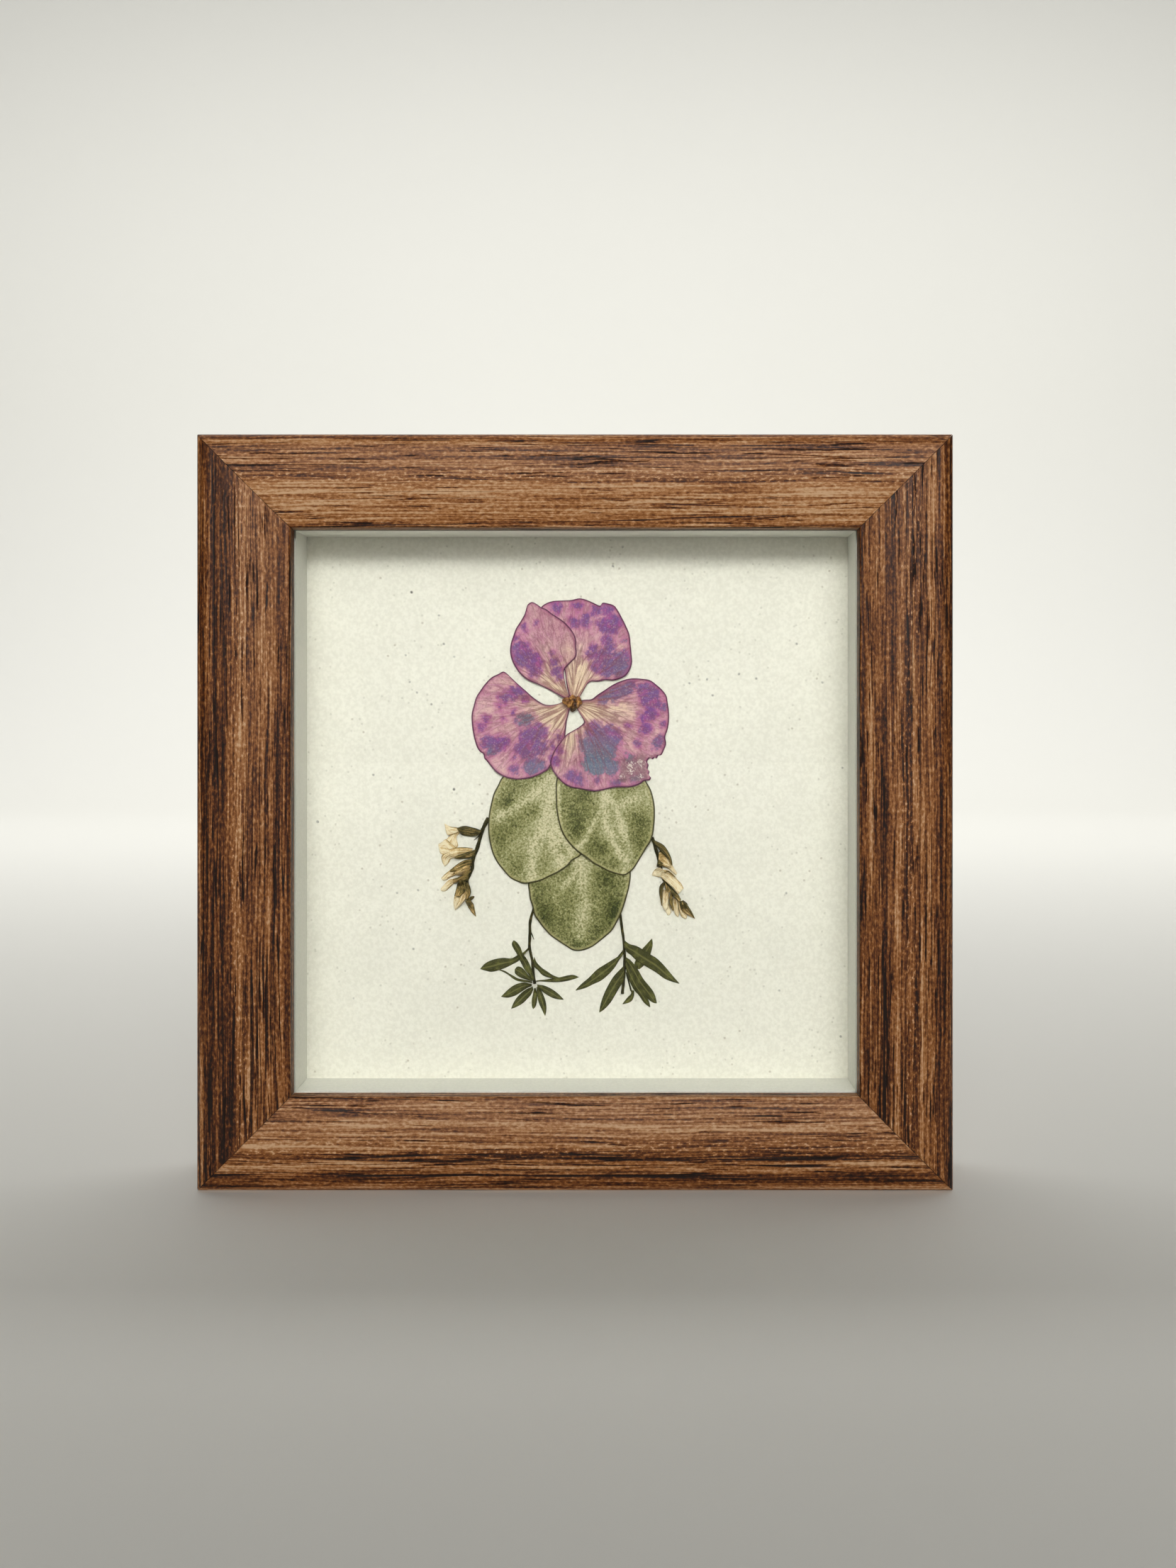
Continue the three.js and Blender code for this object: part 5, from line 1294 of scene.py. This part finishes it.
def leaf_marks(veins, patches):
    def marks(u, v):
        """vein = the strongest bell round a vein; shade = the sum of soft round patches."""
        vein = np.max([bell(path_distance(u, v, path), width) for path, width in veins], axis=0)
        shade = sum(k * bell(far_from(u, v, x, y), radius) for x, y, radius, k in patches)
        return {"vein": vein, "shade": shade}

    return marks


def round_leaf_finish(s, name, darker):
    f = Finish(f"{name}_dry")
    place = f.object_place()
    cloud = f.noise(place, 330, 3, 0.6, 0.3)
    mottle = f.noise(place, 2000, 4, 0.75)
    grain = f.noise(place, 3400, 3, 0.65)
    shade = f.attribute("shade") + darker + (cloud - 0.5) * 1.2
    vein = f.attribute("vein") * (0.5 + f.step(mottle, 0.36, 0.62) * 0.6)
    tone = 0.5 + (mottle - 0.5) * 1.5 + (grain - 0.5) * 0.9 - shade * 0.3 + vein * 0.3
    base = f.ramp(
        tone.clamp(), (0.08, "343610"), (0.28, s.leaf_dark), (0.5, s.leaf_green), (0.72, "a9a57c"),
        (0.95, s.leaf_pale),
    )
    base = f.mix(f.step(shade, 0.4, 1.1) * 0.6, base, "55742c", "SOFT_LIGHT")
    rim = f.attribute("rim")
    # a pale line just inside the rim, then a thin dark line at the rim; the dark line is painted shadow,
    # the contact shadow along the leaf's edge where it lies on the card or on another leaf
    base = f.coats(base, (rim, 0.95, 0.5, 0.45, "b5ac7a"), (rim, 0.42, 0.2, 0.9, "302c14"))
    height = mottle * 0.5 + grain * 0.5
    return f.surface(base, 0.7, f.bump(height, 0.06, 0.8), Specular_IOR_Level=0.25)


class PRESSED_OT_leaves(bpy.types.Operator):
    """Lay the three round leaves"""

    bl_idname = "pressed.leaves"
    bl_label = "Round leaves"

    def execute(self, context):
        s = context.scene.pressed_plants
        tints = {"leaf_lower": 0.1, "leaf_left": -0.3, "leaf_right": -0.22}
        for number, (name, (outline, centre, veins, patches)) in enumerate(LEAVES.items()):
            piece = pressed_disc(
                name, outline, centre, s.leaf_thickness / MM, leaf_marks(veins, patches),
                reach=1.6, curl=0.12, seed=300 + 10 * number, vein_rise=0.06,
            )
            piece.make(round_leaf_finish(s, name, tints[name]), name, [name])
        return {"FINISHED"}


# Flower

HEART = (-0.55, 21.75)

# For each petal its outline, its centre, its blotches (right, up, radius, blue share), its worn
# places and its dull places (right, up, radius).
PETALS = {
    "petal_left": (
        [(-2.0, 22.2), (-2.6, 22.0), (-3.9, 21.5), (-5.3, 21.3), (-6.5, 21.45), (-7.6, 22.0), (-9.1, 23.1),
         (-10.2, 24.1), (-11.7, 25.4), (-13.1, 26.7), (-14.4, 27.9), (-15.0, 28.2), (-16.0, 27.7),
         (-17.4, 27.0), (-18.7, 25.7), (-19.7, 24.3), (-20.6, 22.8), (-21.1, 21.1), (-21.5, 19.4),
         (-21.5, 17.9), (-21.3, 16.2), (-20.9, 14.2), (-20.3, 12.4), (-19.7, 11.6), (-19.2, 11.3),
         (-19.0, 10.9), (-18.9, 10.3), (-18.4, 9.8), (-17.6, 8.8), (-16.4, 7.5), (-15.1, 6.7),
         (-13.7, 6.2), (-11.9, 6.0), (-9.9, 6.2), (-8.2, 6.7), (-6.75, 7.4), (-5.7, 8.1), (-5.2, 8.8),
         (-3.8, 10.5), (-2.9, 12.5), (-2.3, 14.5), (-2.1, 16.2), (-1.9, 18.0), (-1.4, 20.0), (-1.2, 21.3)],
        (-11, 16.5),
        [(-11.5, 24.4, 1.0, 0), (-13.0, 23.6, 1.3, 0.2), (-14.8, 22.8, 1.1, 0.1), (-10.6, 22.6, 0.7, 0.1),
         (-15.8, 21.0, 0.6, 0), (-13.0, 19.8, 0.5, 0), (-15.0, 18.5, 0.4, 0), (-18.6, 18.3, 0.6, 0),
         (-19.6, 16.8, 0.8, 0.2), (-10.6, 18.3, 1.3, 1), (-9.4, 18.8, 0.7, 1), (-12.2, 18.0, 0.45, 0.4),
         (-18.2, 13.6, 1.4, 0.2), (-16.2, 13.2, 1.6, 0.1), (-14.8, 13.8, 1.3, 0), (-17.4, 11.8, 1.2, 0.9),
         (-11.4, 12.4, 1.5, 0), (-9.6, 14.2, 2.3, 0.1), (-8.0, 15.6, 1.8, 0.2), (-10.0, 11.6, 1.7, 0.3),
         (-7.4, 12.6, 1.5, 0.2), (-9.0, 8.7, 1.8, 0.75), (-7.4, 8.9, 1.1, 0.6), (-12.8, 8.1, 0.9, 0.3),
         (-3.6, 14.6, 1.0, 0.1), (-3.1, 12.4, 0.9, 0), (-5.0, 13.0, 0.7, 0), (-4.8, 10.6, 0.6, 0.1),
         (-12.8, 10.6, 0.5, 0)],
        [(-19.1, 11.2, 0.8)],
        [],
    ),
    "petal_right": (
        [(0.3, 21.6), (1.0, 22.25), (1.9, 22.4), (3.1, 22.5), (4.5, 23.5), (5.9, 24.4), (7.4, 25.4),
         (8.8, 26.1), (10.3, 26.6), (11.7, 26.8), (13.45, 26.7), (15.2, 26.4), (16.6, 25.4), (17.8, 24.3),
         (18.6, 23.1), (18.85, 21.7), (19.1, 19.9), (19.1, 17.9), (18.8, 16.2), (18.35, 14.75),
         (18.5, 13.3), (18.1, 12.15), (17.5, 11.0), (16.9, 10.9), (16.6, 10.3), (16.1, 10.5),
         (15.8, 10.1), (15.2, 10.4), (14.6, 9.6), (14.9, 9.0), (14.7, 8.1), (15.1, 7.6), (14.9, 7.0),
         (15.35, 6.4), (15.2, 5.9), (14.0, 5.7), (13.2, 5.1), (12.1, 4.65), (10.85, 4.4), (9.7, 4.4),
         (8.5, 4.4), (7.1, 4.2), (5.4, 3.8), (3.9, 3.6), (2.2, 3.8), (0.75, 4.1), (-1.0, 4.4),
         (-2.4, 5.1), (-3.6, 6.2), (-4.6, 7.5), (-5.1, 8.5), (-5.3, 9.5), (-5.0, 10.7), (-4.3, 12.2),
         (-3.3, 13.6), (-2.0, 15.2), (-0.7, 16.0), (0.75, 16.9), (1.6, 17.8), (1.2, 18.8), (0.6, 19.8),
         (0.1, 20.8)],
        (8, 14.5),
        [(5.8, 23.0, 1.5, 0.6), (8.0, 23.8, 1.9, 0.55), (10.2, 24.6, 1.6, 0.45), (11.6, 25.4, 1.0, 0.3),
         (14.0, 24.4, 1.7, 0.25), (15.8, 23.6, 1.7, 0.2), (16.6, 21.6, 1.2, 0.1), (14.4, 22.2, 1.3, 0.1),
         (15.2, 19.6, 1.6, 0.05), (13.6, 18.6, 1.1, 0), (18.2, 21.0, 0.9, 0.4), (14.2, 16.5, 1.3, 0.05),
         (18.0, 17.4, 0.6, 0.2), (16.6, 13.5, 1.1, 0.5), (17.6, 14.2, 0.9, 0.4), (5.0, 12.2, 3.5, 1),
         (4.4, 10.2, 3.2, 1), (6.6, 14.6, 2.6, 0.3), (4.0, 15.6, 2.2, 0.15), (7.6, 15.6, 1.4, 0.1),
         (2.4, 13.4, 1.8, 0.75), (7.2, 8.6, 1.8, 0.8), (-1.0, 6.9, 1.3, 0.15), (0.8, 6.0, 1.2, 0.2),
         (-3.6, 12.0, 0.8, 0.1), (-4.4, 9.8, 0.9, 0.1), (4.4, 5.9, 0.6, 0.1), (8.4, 5.4, 1.0, 0.3),
         (12.6, 13.4, 0.7, 0.2), (10.8, 17.0, 0.5, 0.3), (12.4, 6.2, 1.0, 0.6), (11.0, 10.4, 1.0, 0.9)],
        [(11.2, 8.4, 2.6), (13.4, 9.4, 1.8), (13.0, 6.6, 1.6), (9.6, 6.6, 1.2), (15.4, 9.6, 1.2),
         (18.5, 13.4, 0.8), (16.6, 10.6, 0.8)],
        [(9.0, 10.5, 2.2), (13.5, 12.0, 1.6), (0.5, 10.0, 1.6)],
    ),
    "petal_top_right": (
        [(-1.3, 23.0), (-2.0, 25.6), (-2.4, 28.5), (-3.5, 31.0), (-5.2, 34.0), (-6.8, 37.5), (-7.5, 40.0),
         (-7.2, 41.4), (-6.2, 42.2), (-4.7, 42.7), (-3.0, 42.8), (-1.0, 42.9), (0.75, 43.25), (2.2, 42.9),
         (3.6, 42.3), (5.0, 41.75), (5.4, 42.3), (6.5, 42.2), (7.8, 41.75), (8.5, 40.9), (9.4, 39.3),
         (10.3, 37.5), (11.0, 35.7), (11.2, 33.8), (11.4, 31.8), (11.5, 30.0), (11.1, 28.6),
         (10.3, 27.4), (9.1, 26.7), (7.7, 26.35), (5.9, 26.4), (4.5, 26.1), (3.05, 26.1), (2.3, 25.6),
         (1.75, 24.7), (1.0, 23.4), (0.6, 22.7), (-0.3, 22.2)],
        (3.4, 34),
        [(-4.0, 41.5, 1.2, 0.1), (0.2, 41.7, 1.0, 0.1), (-0.3, 38.3, 1.1, 0.1), (2.0, 38.2, 1.0, 0.1),
         (2.2, 39.4, 0.9, 0.1), (4.4, 41.0, 1.0, 0.1), (3.4, 40.2, 0.5, 0), (6.5, 41.0, 1.2, 0.15),
         (8.0, 38.6, 1.6, 0.1), (6.2, 37.6, 1.5, 0.05), (7.4, 37.4, 1.3, 0.1), (5.0, 38.0, 0.7, 0),
         (3.8, 32.6, 1.1, 0), (3.0, 31.6, 0.9, 0), (6.5, 34.5, 1.2, 0.1), (6.8, 33.0, 1.2, 0.1),
         (9.8, 34.6, 0.5, 0.5), (5.6, 31.0, 1.9, 0.15), (7.4, 30.0, 2.4, 0.35), (9.2, 29.6, 2.0, 0.6),
         (4.4, 29.2, 1.5, 0.1), (8.6, 27.9, 1.3, 0.6), (9.6, 31.2, 1.4, 0.3), (6.2, 28.4, 1.6, 0.25)],
        [],
        [(10.0, 36.0, 1.5)],
    ),
    "petal_top_left": (
        [(-2.0, 22.6), (-2.6, 22.8), (-5.0, 24.1), (-7.6, 25.4), (-9.9, 26.4), (-11.1, 27.3), (-12.2, 28.6),
         (-13.1, 30.2), (-13.6, 32.1), (-13.5, 33.7), (-13.0, 35.4), (-12.4, 37.0), (-11.4, 38.6),
         (-10.6, 40.0), (-10.2, 41.3), (-9.9, 42.0), (-9.1, 42.45), (-8.05, 42.0), (-7.2, 41.4),
         (-6.2, 41.0), (-5.0, 40.1), (-3.9, 39.4), (-2.7, 38.6), (-1.55, 37.5), (-0.7, 36.4),
         (-0.1, 35.1), (0.05, 33.2), (0.0, 31.2), (-1.1, 30.0), (-2.4, 28.45), (-2.5, 27.3),
         (-2.2, 25.7), (-1.8, 24.1), (-1.4, 22.9)],
        (-6.8, 33.5),
        [(-11.4, 33.0, 1.7, 0.05), (-10.4, 31.2, 1.9, 0.05), (-9.0, 30.2, 1.9, 0), (-8.6, 28.6, 1.5, 0),
         (-11.6, 30.4, 1.6, 0.3), (-12.8, 32.8, 0.9, 0.5), (-12.4, 35.0, 0.7, 0), (-4.4, 30.0, 1.0, 0.1),
         (-4.0, 28.4, 1.1, 0.1), (-3.4, 27.0, 0.8, 0.1), (-5.2, 31.6, 0.6, 0), (-10.8, 37.3, 0.6, 0.1),
         (-8.2, 37.8, 0.5, 0.1), (-7.4, 29.6, 0.7, 0)],
        [],
        [(-2.4, 34.6, 2.6), (-4.2, 37.4, 2.2), (-6.8, 39.8, 2.0), (-2.0, 31.4, 1.8), (-9.6, 40.4, 1.4)],
    ),
}


def soft_patches(u, v, patches):
    """The strongest bell of round patches (right, up, radius)."""
    bells = [bell(far_from(u, v, x, y), radius) for x, y, radius in patches]
    return np.max([0 * u, *bells], axis=0)


def petal_marks(blotches, worn, dull):
    def marks(u, v):
        """stain = how far inside the nearest blotch, in mm; slate = its blue share."""
        stain = np.full(u.shape, -4.0)
        slate = np.zeros(u.shape)
        weight = np.full(u.shape, 1e-6)
        for x, y, radius, blue in blotches:
            far = far_from(u, v, x, y)
            stain = np.maximum(stain, radius * 1.06 - far)
            slate += bell(far, radius) * blue
            weight += bell(far, radius)
        wear, rose = soft_patches(u, v, worn), soft_patches(u, v, dull)
        return {"stain": stain, "slate": slate / weight, "wear": wear, "dull": rose}

    return marks


def petal_finish(s):
    f = Finish("dry_petal")
    place = f.object_place()
    x, _, z = f.split(place)
    heart = on_card(HEART)
    right = x * (1 / MM) - float(heart[0])
    up = z * (1 / MM) - float(MIDDLE + heart[1])
    far = (right * right + up * up) ** 0.5
    gap = math.radians(23)  # turns the join of the angles into the gap between two petals
    ahead = right * math.cos(gap) - up * math.sin(gap)
    aside = right * math.sin(gap) + up * math.cos(gap)
    angle = f.node("ShaderNodeMath", {"operation": "ARCTAN2"}, {0: aside, 1: ahead})
    cloud = f.noise(place, 260, 4, 0.6)
    scatter = f.noise(place, 560, 3, 0.6)
    mottle = f.noise(place, 1100, 3, 0.65)
    grain = f.noise(place, 3200, 3, 0.6)
    rays = f.noise(f.join(angle * 5.5, far * 0.09), 1, 2, 0.5, 0.5)
    fine_rays = f.noise(f.join(angle * 15, far * 0.22, 3.0), 1, 2, 0.55, 0.6)
    ray_line = f.step(abs(rays - 0.5) * far, 0.5, 0.12)
    fine_line = f.step(abs(fine_rays - 0.5) * far, 1.1, 0.25)
    base = f.mix(f.step(cloud, 0.35, 0.7), s.petal, s.petal_pale)
    base = f.coats(
        base,
        (scatter, 0.48, 0.68, 0.5, s.petal_pale),
        (mottle, 0.46, 0.3, 0.4, "a85c84"),
        (fine_rays, 0.42, 0.66, 0.3, "e0bfae"),
        (far + (rays - 0.5) * 14 + (mottle - 0.5) * 4, 12.5, 5.0, 0.92, s.claw),
        (far + (rays - 0.5) * 18, 17, 8, 0.4, s.claw),
    )
    base = f.mix(f.attribute("dull") * 0.65, base, "b3788b")
    slate = f.attribute("slate")
    blot = f.coats(
        f.mix(slate, s.blotch, s.slate),
        (scatter, 0.48, 0.68, (1 - slate) * 0.7, s.halo), (mottle, 0.5, 0.28, 0.45, "4c3168"),
    )
    stain = f.attribute("stain") + (mottle - 0.5) * 2.4 + (scatter - 0.5) * 2.6
    stain = stain + (cloud - 0.5) + (grain - 0.5) * 1.4
    wear = f.attribute("wear") + (mottle - 0.5) * 0.9 + (scatter - 0.5) * 0.8
    rim = f.attribute("rim") + (mottle - 0.5) * 0.2
    base = f.coats(
        base,
        (stain, -1.3, 0.1, 0.6, s.halo), (stain, -0.35, 0.5, 0.9, blot),
        (wear, 0.15, 0.65, 0.75, "7d6066"), (wear + (grain - 0.5) * 2.2, 0.9, 1.15, 0.75, "e6ddd0"),
        (far, 12, 3, ray_line * 0.45, s.vein), (far, 26, 7, ray_line * 0.55, "75414e"),
        (far, 2, 9, fine_line * 0.36, "7f4b56"),
        (grain, 0.5, 0.76, 0.28, "ead0c8"), (grain, 0.48, 0.3, 0.25, "6b3c5a"),
        (rim, 0.95, 0.35, 0.45, "a04f78"), (rim, 0.42, 0.18, 0.85, "522244"),
    )
    height = mottle * 0.35 + grain * 0.25 + ray_line * 0.5
    return f.surface(base, 0.68, f.bump(height, 0.05, 0.7), Specular_IOR_Level=0.25)


def heart_finish():
    f = Finish("dry_heart")
    place = f.object_place()
    _, _, z = f.split(place)
    cloud = f.noise(place, 1300, 4, 0.6)
    base = f.ramp(cloud, (0.32, "28150a"), (0.48, "7a4a1c"), (0.64, "c8924a"))
    base = f.coats(base, (z * (1 / MM) - MIDDLE, 21.6, 20.6, 0.8, "140f0a"))
    return f.surface(base, 0.5, f.bump(cloud, 0.15, 0.8))


class PRESSED_OT_flower(bpy.types.Operator):
    """Lay the four petals and the heart of the flower"""

    bl_idname = "pressed.flower"
    bl_label = "Flower"

    def execute(self, context):
        s = context.scene.pressed_plants
        skin = petal_finish(s)
        for number, (name, (outline, centre, *patches)) in enumerate(PETALS.items()):
            piece = pressed_disc(
                name, outline, centre, s.thickness / MM, petal_marks(*patches),
                reach=1.8, curl=0.25, seed=400 + 10 * number,
            )
            piece.make(skin, "petal", [name])
        self.heart()
        return {"FINISHED"}

    def heart(self):
        """Lumps: spheres with radius r(1 + 0.12 ripple), flattened and laid on the claws."""
        lumps = [
            (-2.0, 22.1, 0.8), (-0.7, 22.5, 0.85), (0.4, 22.3, 0.75), (0.05, 21.3, 0.8),
            (-0.6, 20.5, 0.62), (-1.25, 21.5, 0.75), (0.8, 21.9, 0.5),
        ]
        piece = Piece("flower_heart_skin")
        turn = full_turn(40)[None]
        tilt = np.linspace(0.04, np.pi - 0.04, 26)[:, None]
        for number, (x, y, radius) in enumerate(lumps):
            u, v = on_card((x, y))
            base = float(bed.base(np.array([u]), np.array([v]), 0.8)[0])
            size = radius * (1 + 0.12 * ripple(turn + 0 * tilt, tilt + 0 * turn, 500 + number, 1.6))
            right = u + size * np.sin(tilt) * np.cos(turn)
            upward = v + size * np.sin(tilt) * np.sin(turn)
            out = base + radius * 0.55 + size * np.cos(tilt) * 0.62
            piece.skin(on_frame(right, upward, out))
        piece.make(heart_finish(), "flower_heart", ["flower_heart"])


# Stage


def area_light(name, place, target, size, power, spread, colour=(1, 1, 1)):
    """A soft box with a grid: it lights only within half its spread, in degrees, of its axis."""
    light = bpy.data.lights.new(name, "AREA")
    light.spread = math.radians(spread)
    light.shape = "RECTANGLE"
    light.size, light.size_y = size
    light.energy = power
    light.color = colour
    made = bpy.data.objects.new(name, light)
    made.location = place
    way = np.array(target, float) - np.array(place, float)
    level = math.hypot(way[0], way[1])
    made.rotation_euler = (math.atan2(level, -way[2]), 0, math.atan2(-way[0], way[1]))
    bpy.context.scene.collection.objects.link(made)


class PRESSED_OT_stage(bpy.types.Operator):
    """Make the pale floor, the soft lights and the camera"""

    bl_idname = "pressed.stage"
    bl_label = "Stage"

    def execute(self, context):
        s = context.scene.pressed_stage
        scene = context.scene
        scene.view_settings.view_transform = "Standard"
        self.floor(s)
        self.lights(s)
        self.camera(s)
        return {"FINISHED"}

    def floor(self, s):
        """A floor that sweeps up behind in a quarter circle: one section carried along X."""
        near, far, bend, wide, high = -3.0, 1.2, 0.6, 4.0, 2.6
        turn = np.linspace(0, np.pi / 2, 24)
        y = np.concatenate([[near, far], far + bend * np.sin(turn[1:]), [far + bend]])
        z = np.concatenate([[0, 0], bend * (1 - np.cos(turn[1:])), [high]])
        x = np.array([-wide, wide])[:, None] + 0 * y
        points = np.stack([x, np.broadcast_to(y, x.shape), np.broadcast_to(z, x.shape)], axis=-1)
        count = len(y)
        i = np.arange(count - 1)
        quads = np.column_stack([i, count + i, count + i + 1, i + 1])
        mesh = bpy.data.meshes.new("floor")
        mesh.from_pydata(points.reshape(-1, 3).tolist(), [], quads.tolist())
        mesh.polygons.foreach_set("use_smooth", np.ones(len(quads), bool))
        f = Finish("studio_floor")
        place = f.object_place()
        soft = f.noise(place, 3, 2)
        base = f.mix(soft, times(s.floor, 0.985), s.floor)
        mesh.materials.append(f.surface(base, 0.8, Specular_IOR_Level=0.2))
        made = bpy.data.objects.new("floor", mesh)
        bpy.context.scene.collection.objects.link(made)

    def lights(self, s):
        """A soft box over the camera, one on the sweep behind and one on the floor far in front."""
        middle, away = MIDDLE * MM, 0.9
        key = (0.03, -away * math.cos(s.key_height), middle + away * math.sin(s.key_height))
        warm = (1, 0.985, 0.96)
        area_light("key_light", key, (0, 0, middle + 0.06), (0.9, 0.17), s.key_power, 50, warm)
        area_light("wall_light", (0, 0.5, 1.3), (0, 1.3, 0.3), (3.2, 0.5), s.wall_power, 150)
        area_light("room_light", (0, -2.2, 1.6), (0, -2.2, 0), (4, 1.6), s.room_power, 70)
        world = bpy.data.worlds.new("pale_room")
        world.use_nodes = True
        tree = world.node_tree
        background = tree.nodes["Background"]
        background.inputs["Color"].default_value = (0.97, 0.97, 0.95, 1)
        seen = tree.nodes.new("ShaderNodeLightPath").outputs["Is Camera Ray"]
        strength = tree.nodes.new("ShaderNodeMath")
        strength.operation = "MULTIPLY_ADD"
        tree.links.new(seen, strength.inputs[0])
        strength.inputs[1].default_value = s.room
        strength.inputs[2].default_value = s.world
        tree.links.new(strength.outputs[0], background.inputs["Strength"])
        bpy.context.scene.world = world

    def camera(self, s):
        """The photo's optical axis crosses the picture right of and above the middle of the frame."""
        wide, high = 1659, 2212
        axis_pixel = (878, 1020)
        side, rise = 9.4 * MM, 17.7 * MM
        inner_edge = (RAIL_FRONT + 2.3) * MM
        camera = bpy.data.cameras.new("photo_camera")
        camera.sensor_width = 36
        camera.lens = s.focal_pixels * camera.sensor_width / high
        camera.shift_x = (wide / 2 - axis_pixel[0]) / high
        camera.shift_y = (axis_pixel[1] - high / 2) / high
        camera.clip_start = 0.01
        made = bpy.data.objects.new("photo_camera", camera)
        made.location = (side, inner_edge - s.camera_away, MIDDLE * MM + rise)
        made.rotation_euler = (math.pi / 2, 0, 0)
        bpy.context.scene.collection.objects.link(made)
        bpy.context.scene.camera = made


STEPS = (
    PRESSED_OT_stage, PRESSED_OT_moulding, PRESSED_OT_layers, PRESSED_OT_fittings, PRESSED_OT_feet,
    PRESSED_OT_arms, PRESSED_OT_leaves, PRESSED_OT_flower,
)


class PRESSED_PT_panel(bpy.types.Panel):
    """Lists the steps and their settings"""

    bl_idname = "PRESSED_PT_panel"
    bl_label = "Pressed Frame"
    bl_space_type = "VIEW_3D"
    bl_region_type = "UI"
    bl_category = "Pressed Frame"

    def draw(self, context):
        for step in STEPS:
            self.layout.operator(step.bl_idname)
        for name, group in SETTINGS.items():
            box = self.layout.box()
            box.label(text=name.replace("_", " "))
            for key in group.__annotations__:
                box.prop(getattr(context.scene, name), key)


def register():
    for group in SETTINGS.values():
        bpy.utils.register_class(group)
    for step in (*STEPS, PRESSED_PT_panel):
        bpy.utils.register_class(step)
    for name, group in SETTINGS.items():
        setattr(bpy.types.Scene, name, PointerProperty(type=group))


def unregister():
    for name in SETTINGS:
        delattr(bpy.types.Scene, name)
    for step in (PRESSED_PT_panel, *reversed(STEPS)):
        bpy.utils.unregister_class(step)
    for group in reversed(SETTINGS.values()):
        bpy.utils.unregister_class(group)


def main():
    register()
    for step in STEPS:
        group, call = step.bl_idname.split(".")
        done = getattr(getattr(bpy.ops, group), call)()
        if done != {"FINISHED"}:
            raise RuntimeError(f"{step.bl_label} did not finish")
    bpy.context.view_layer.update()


if __name__ == "__main__":
    main()
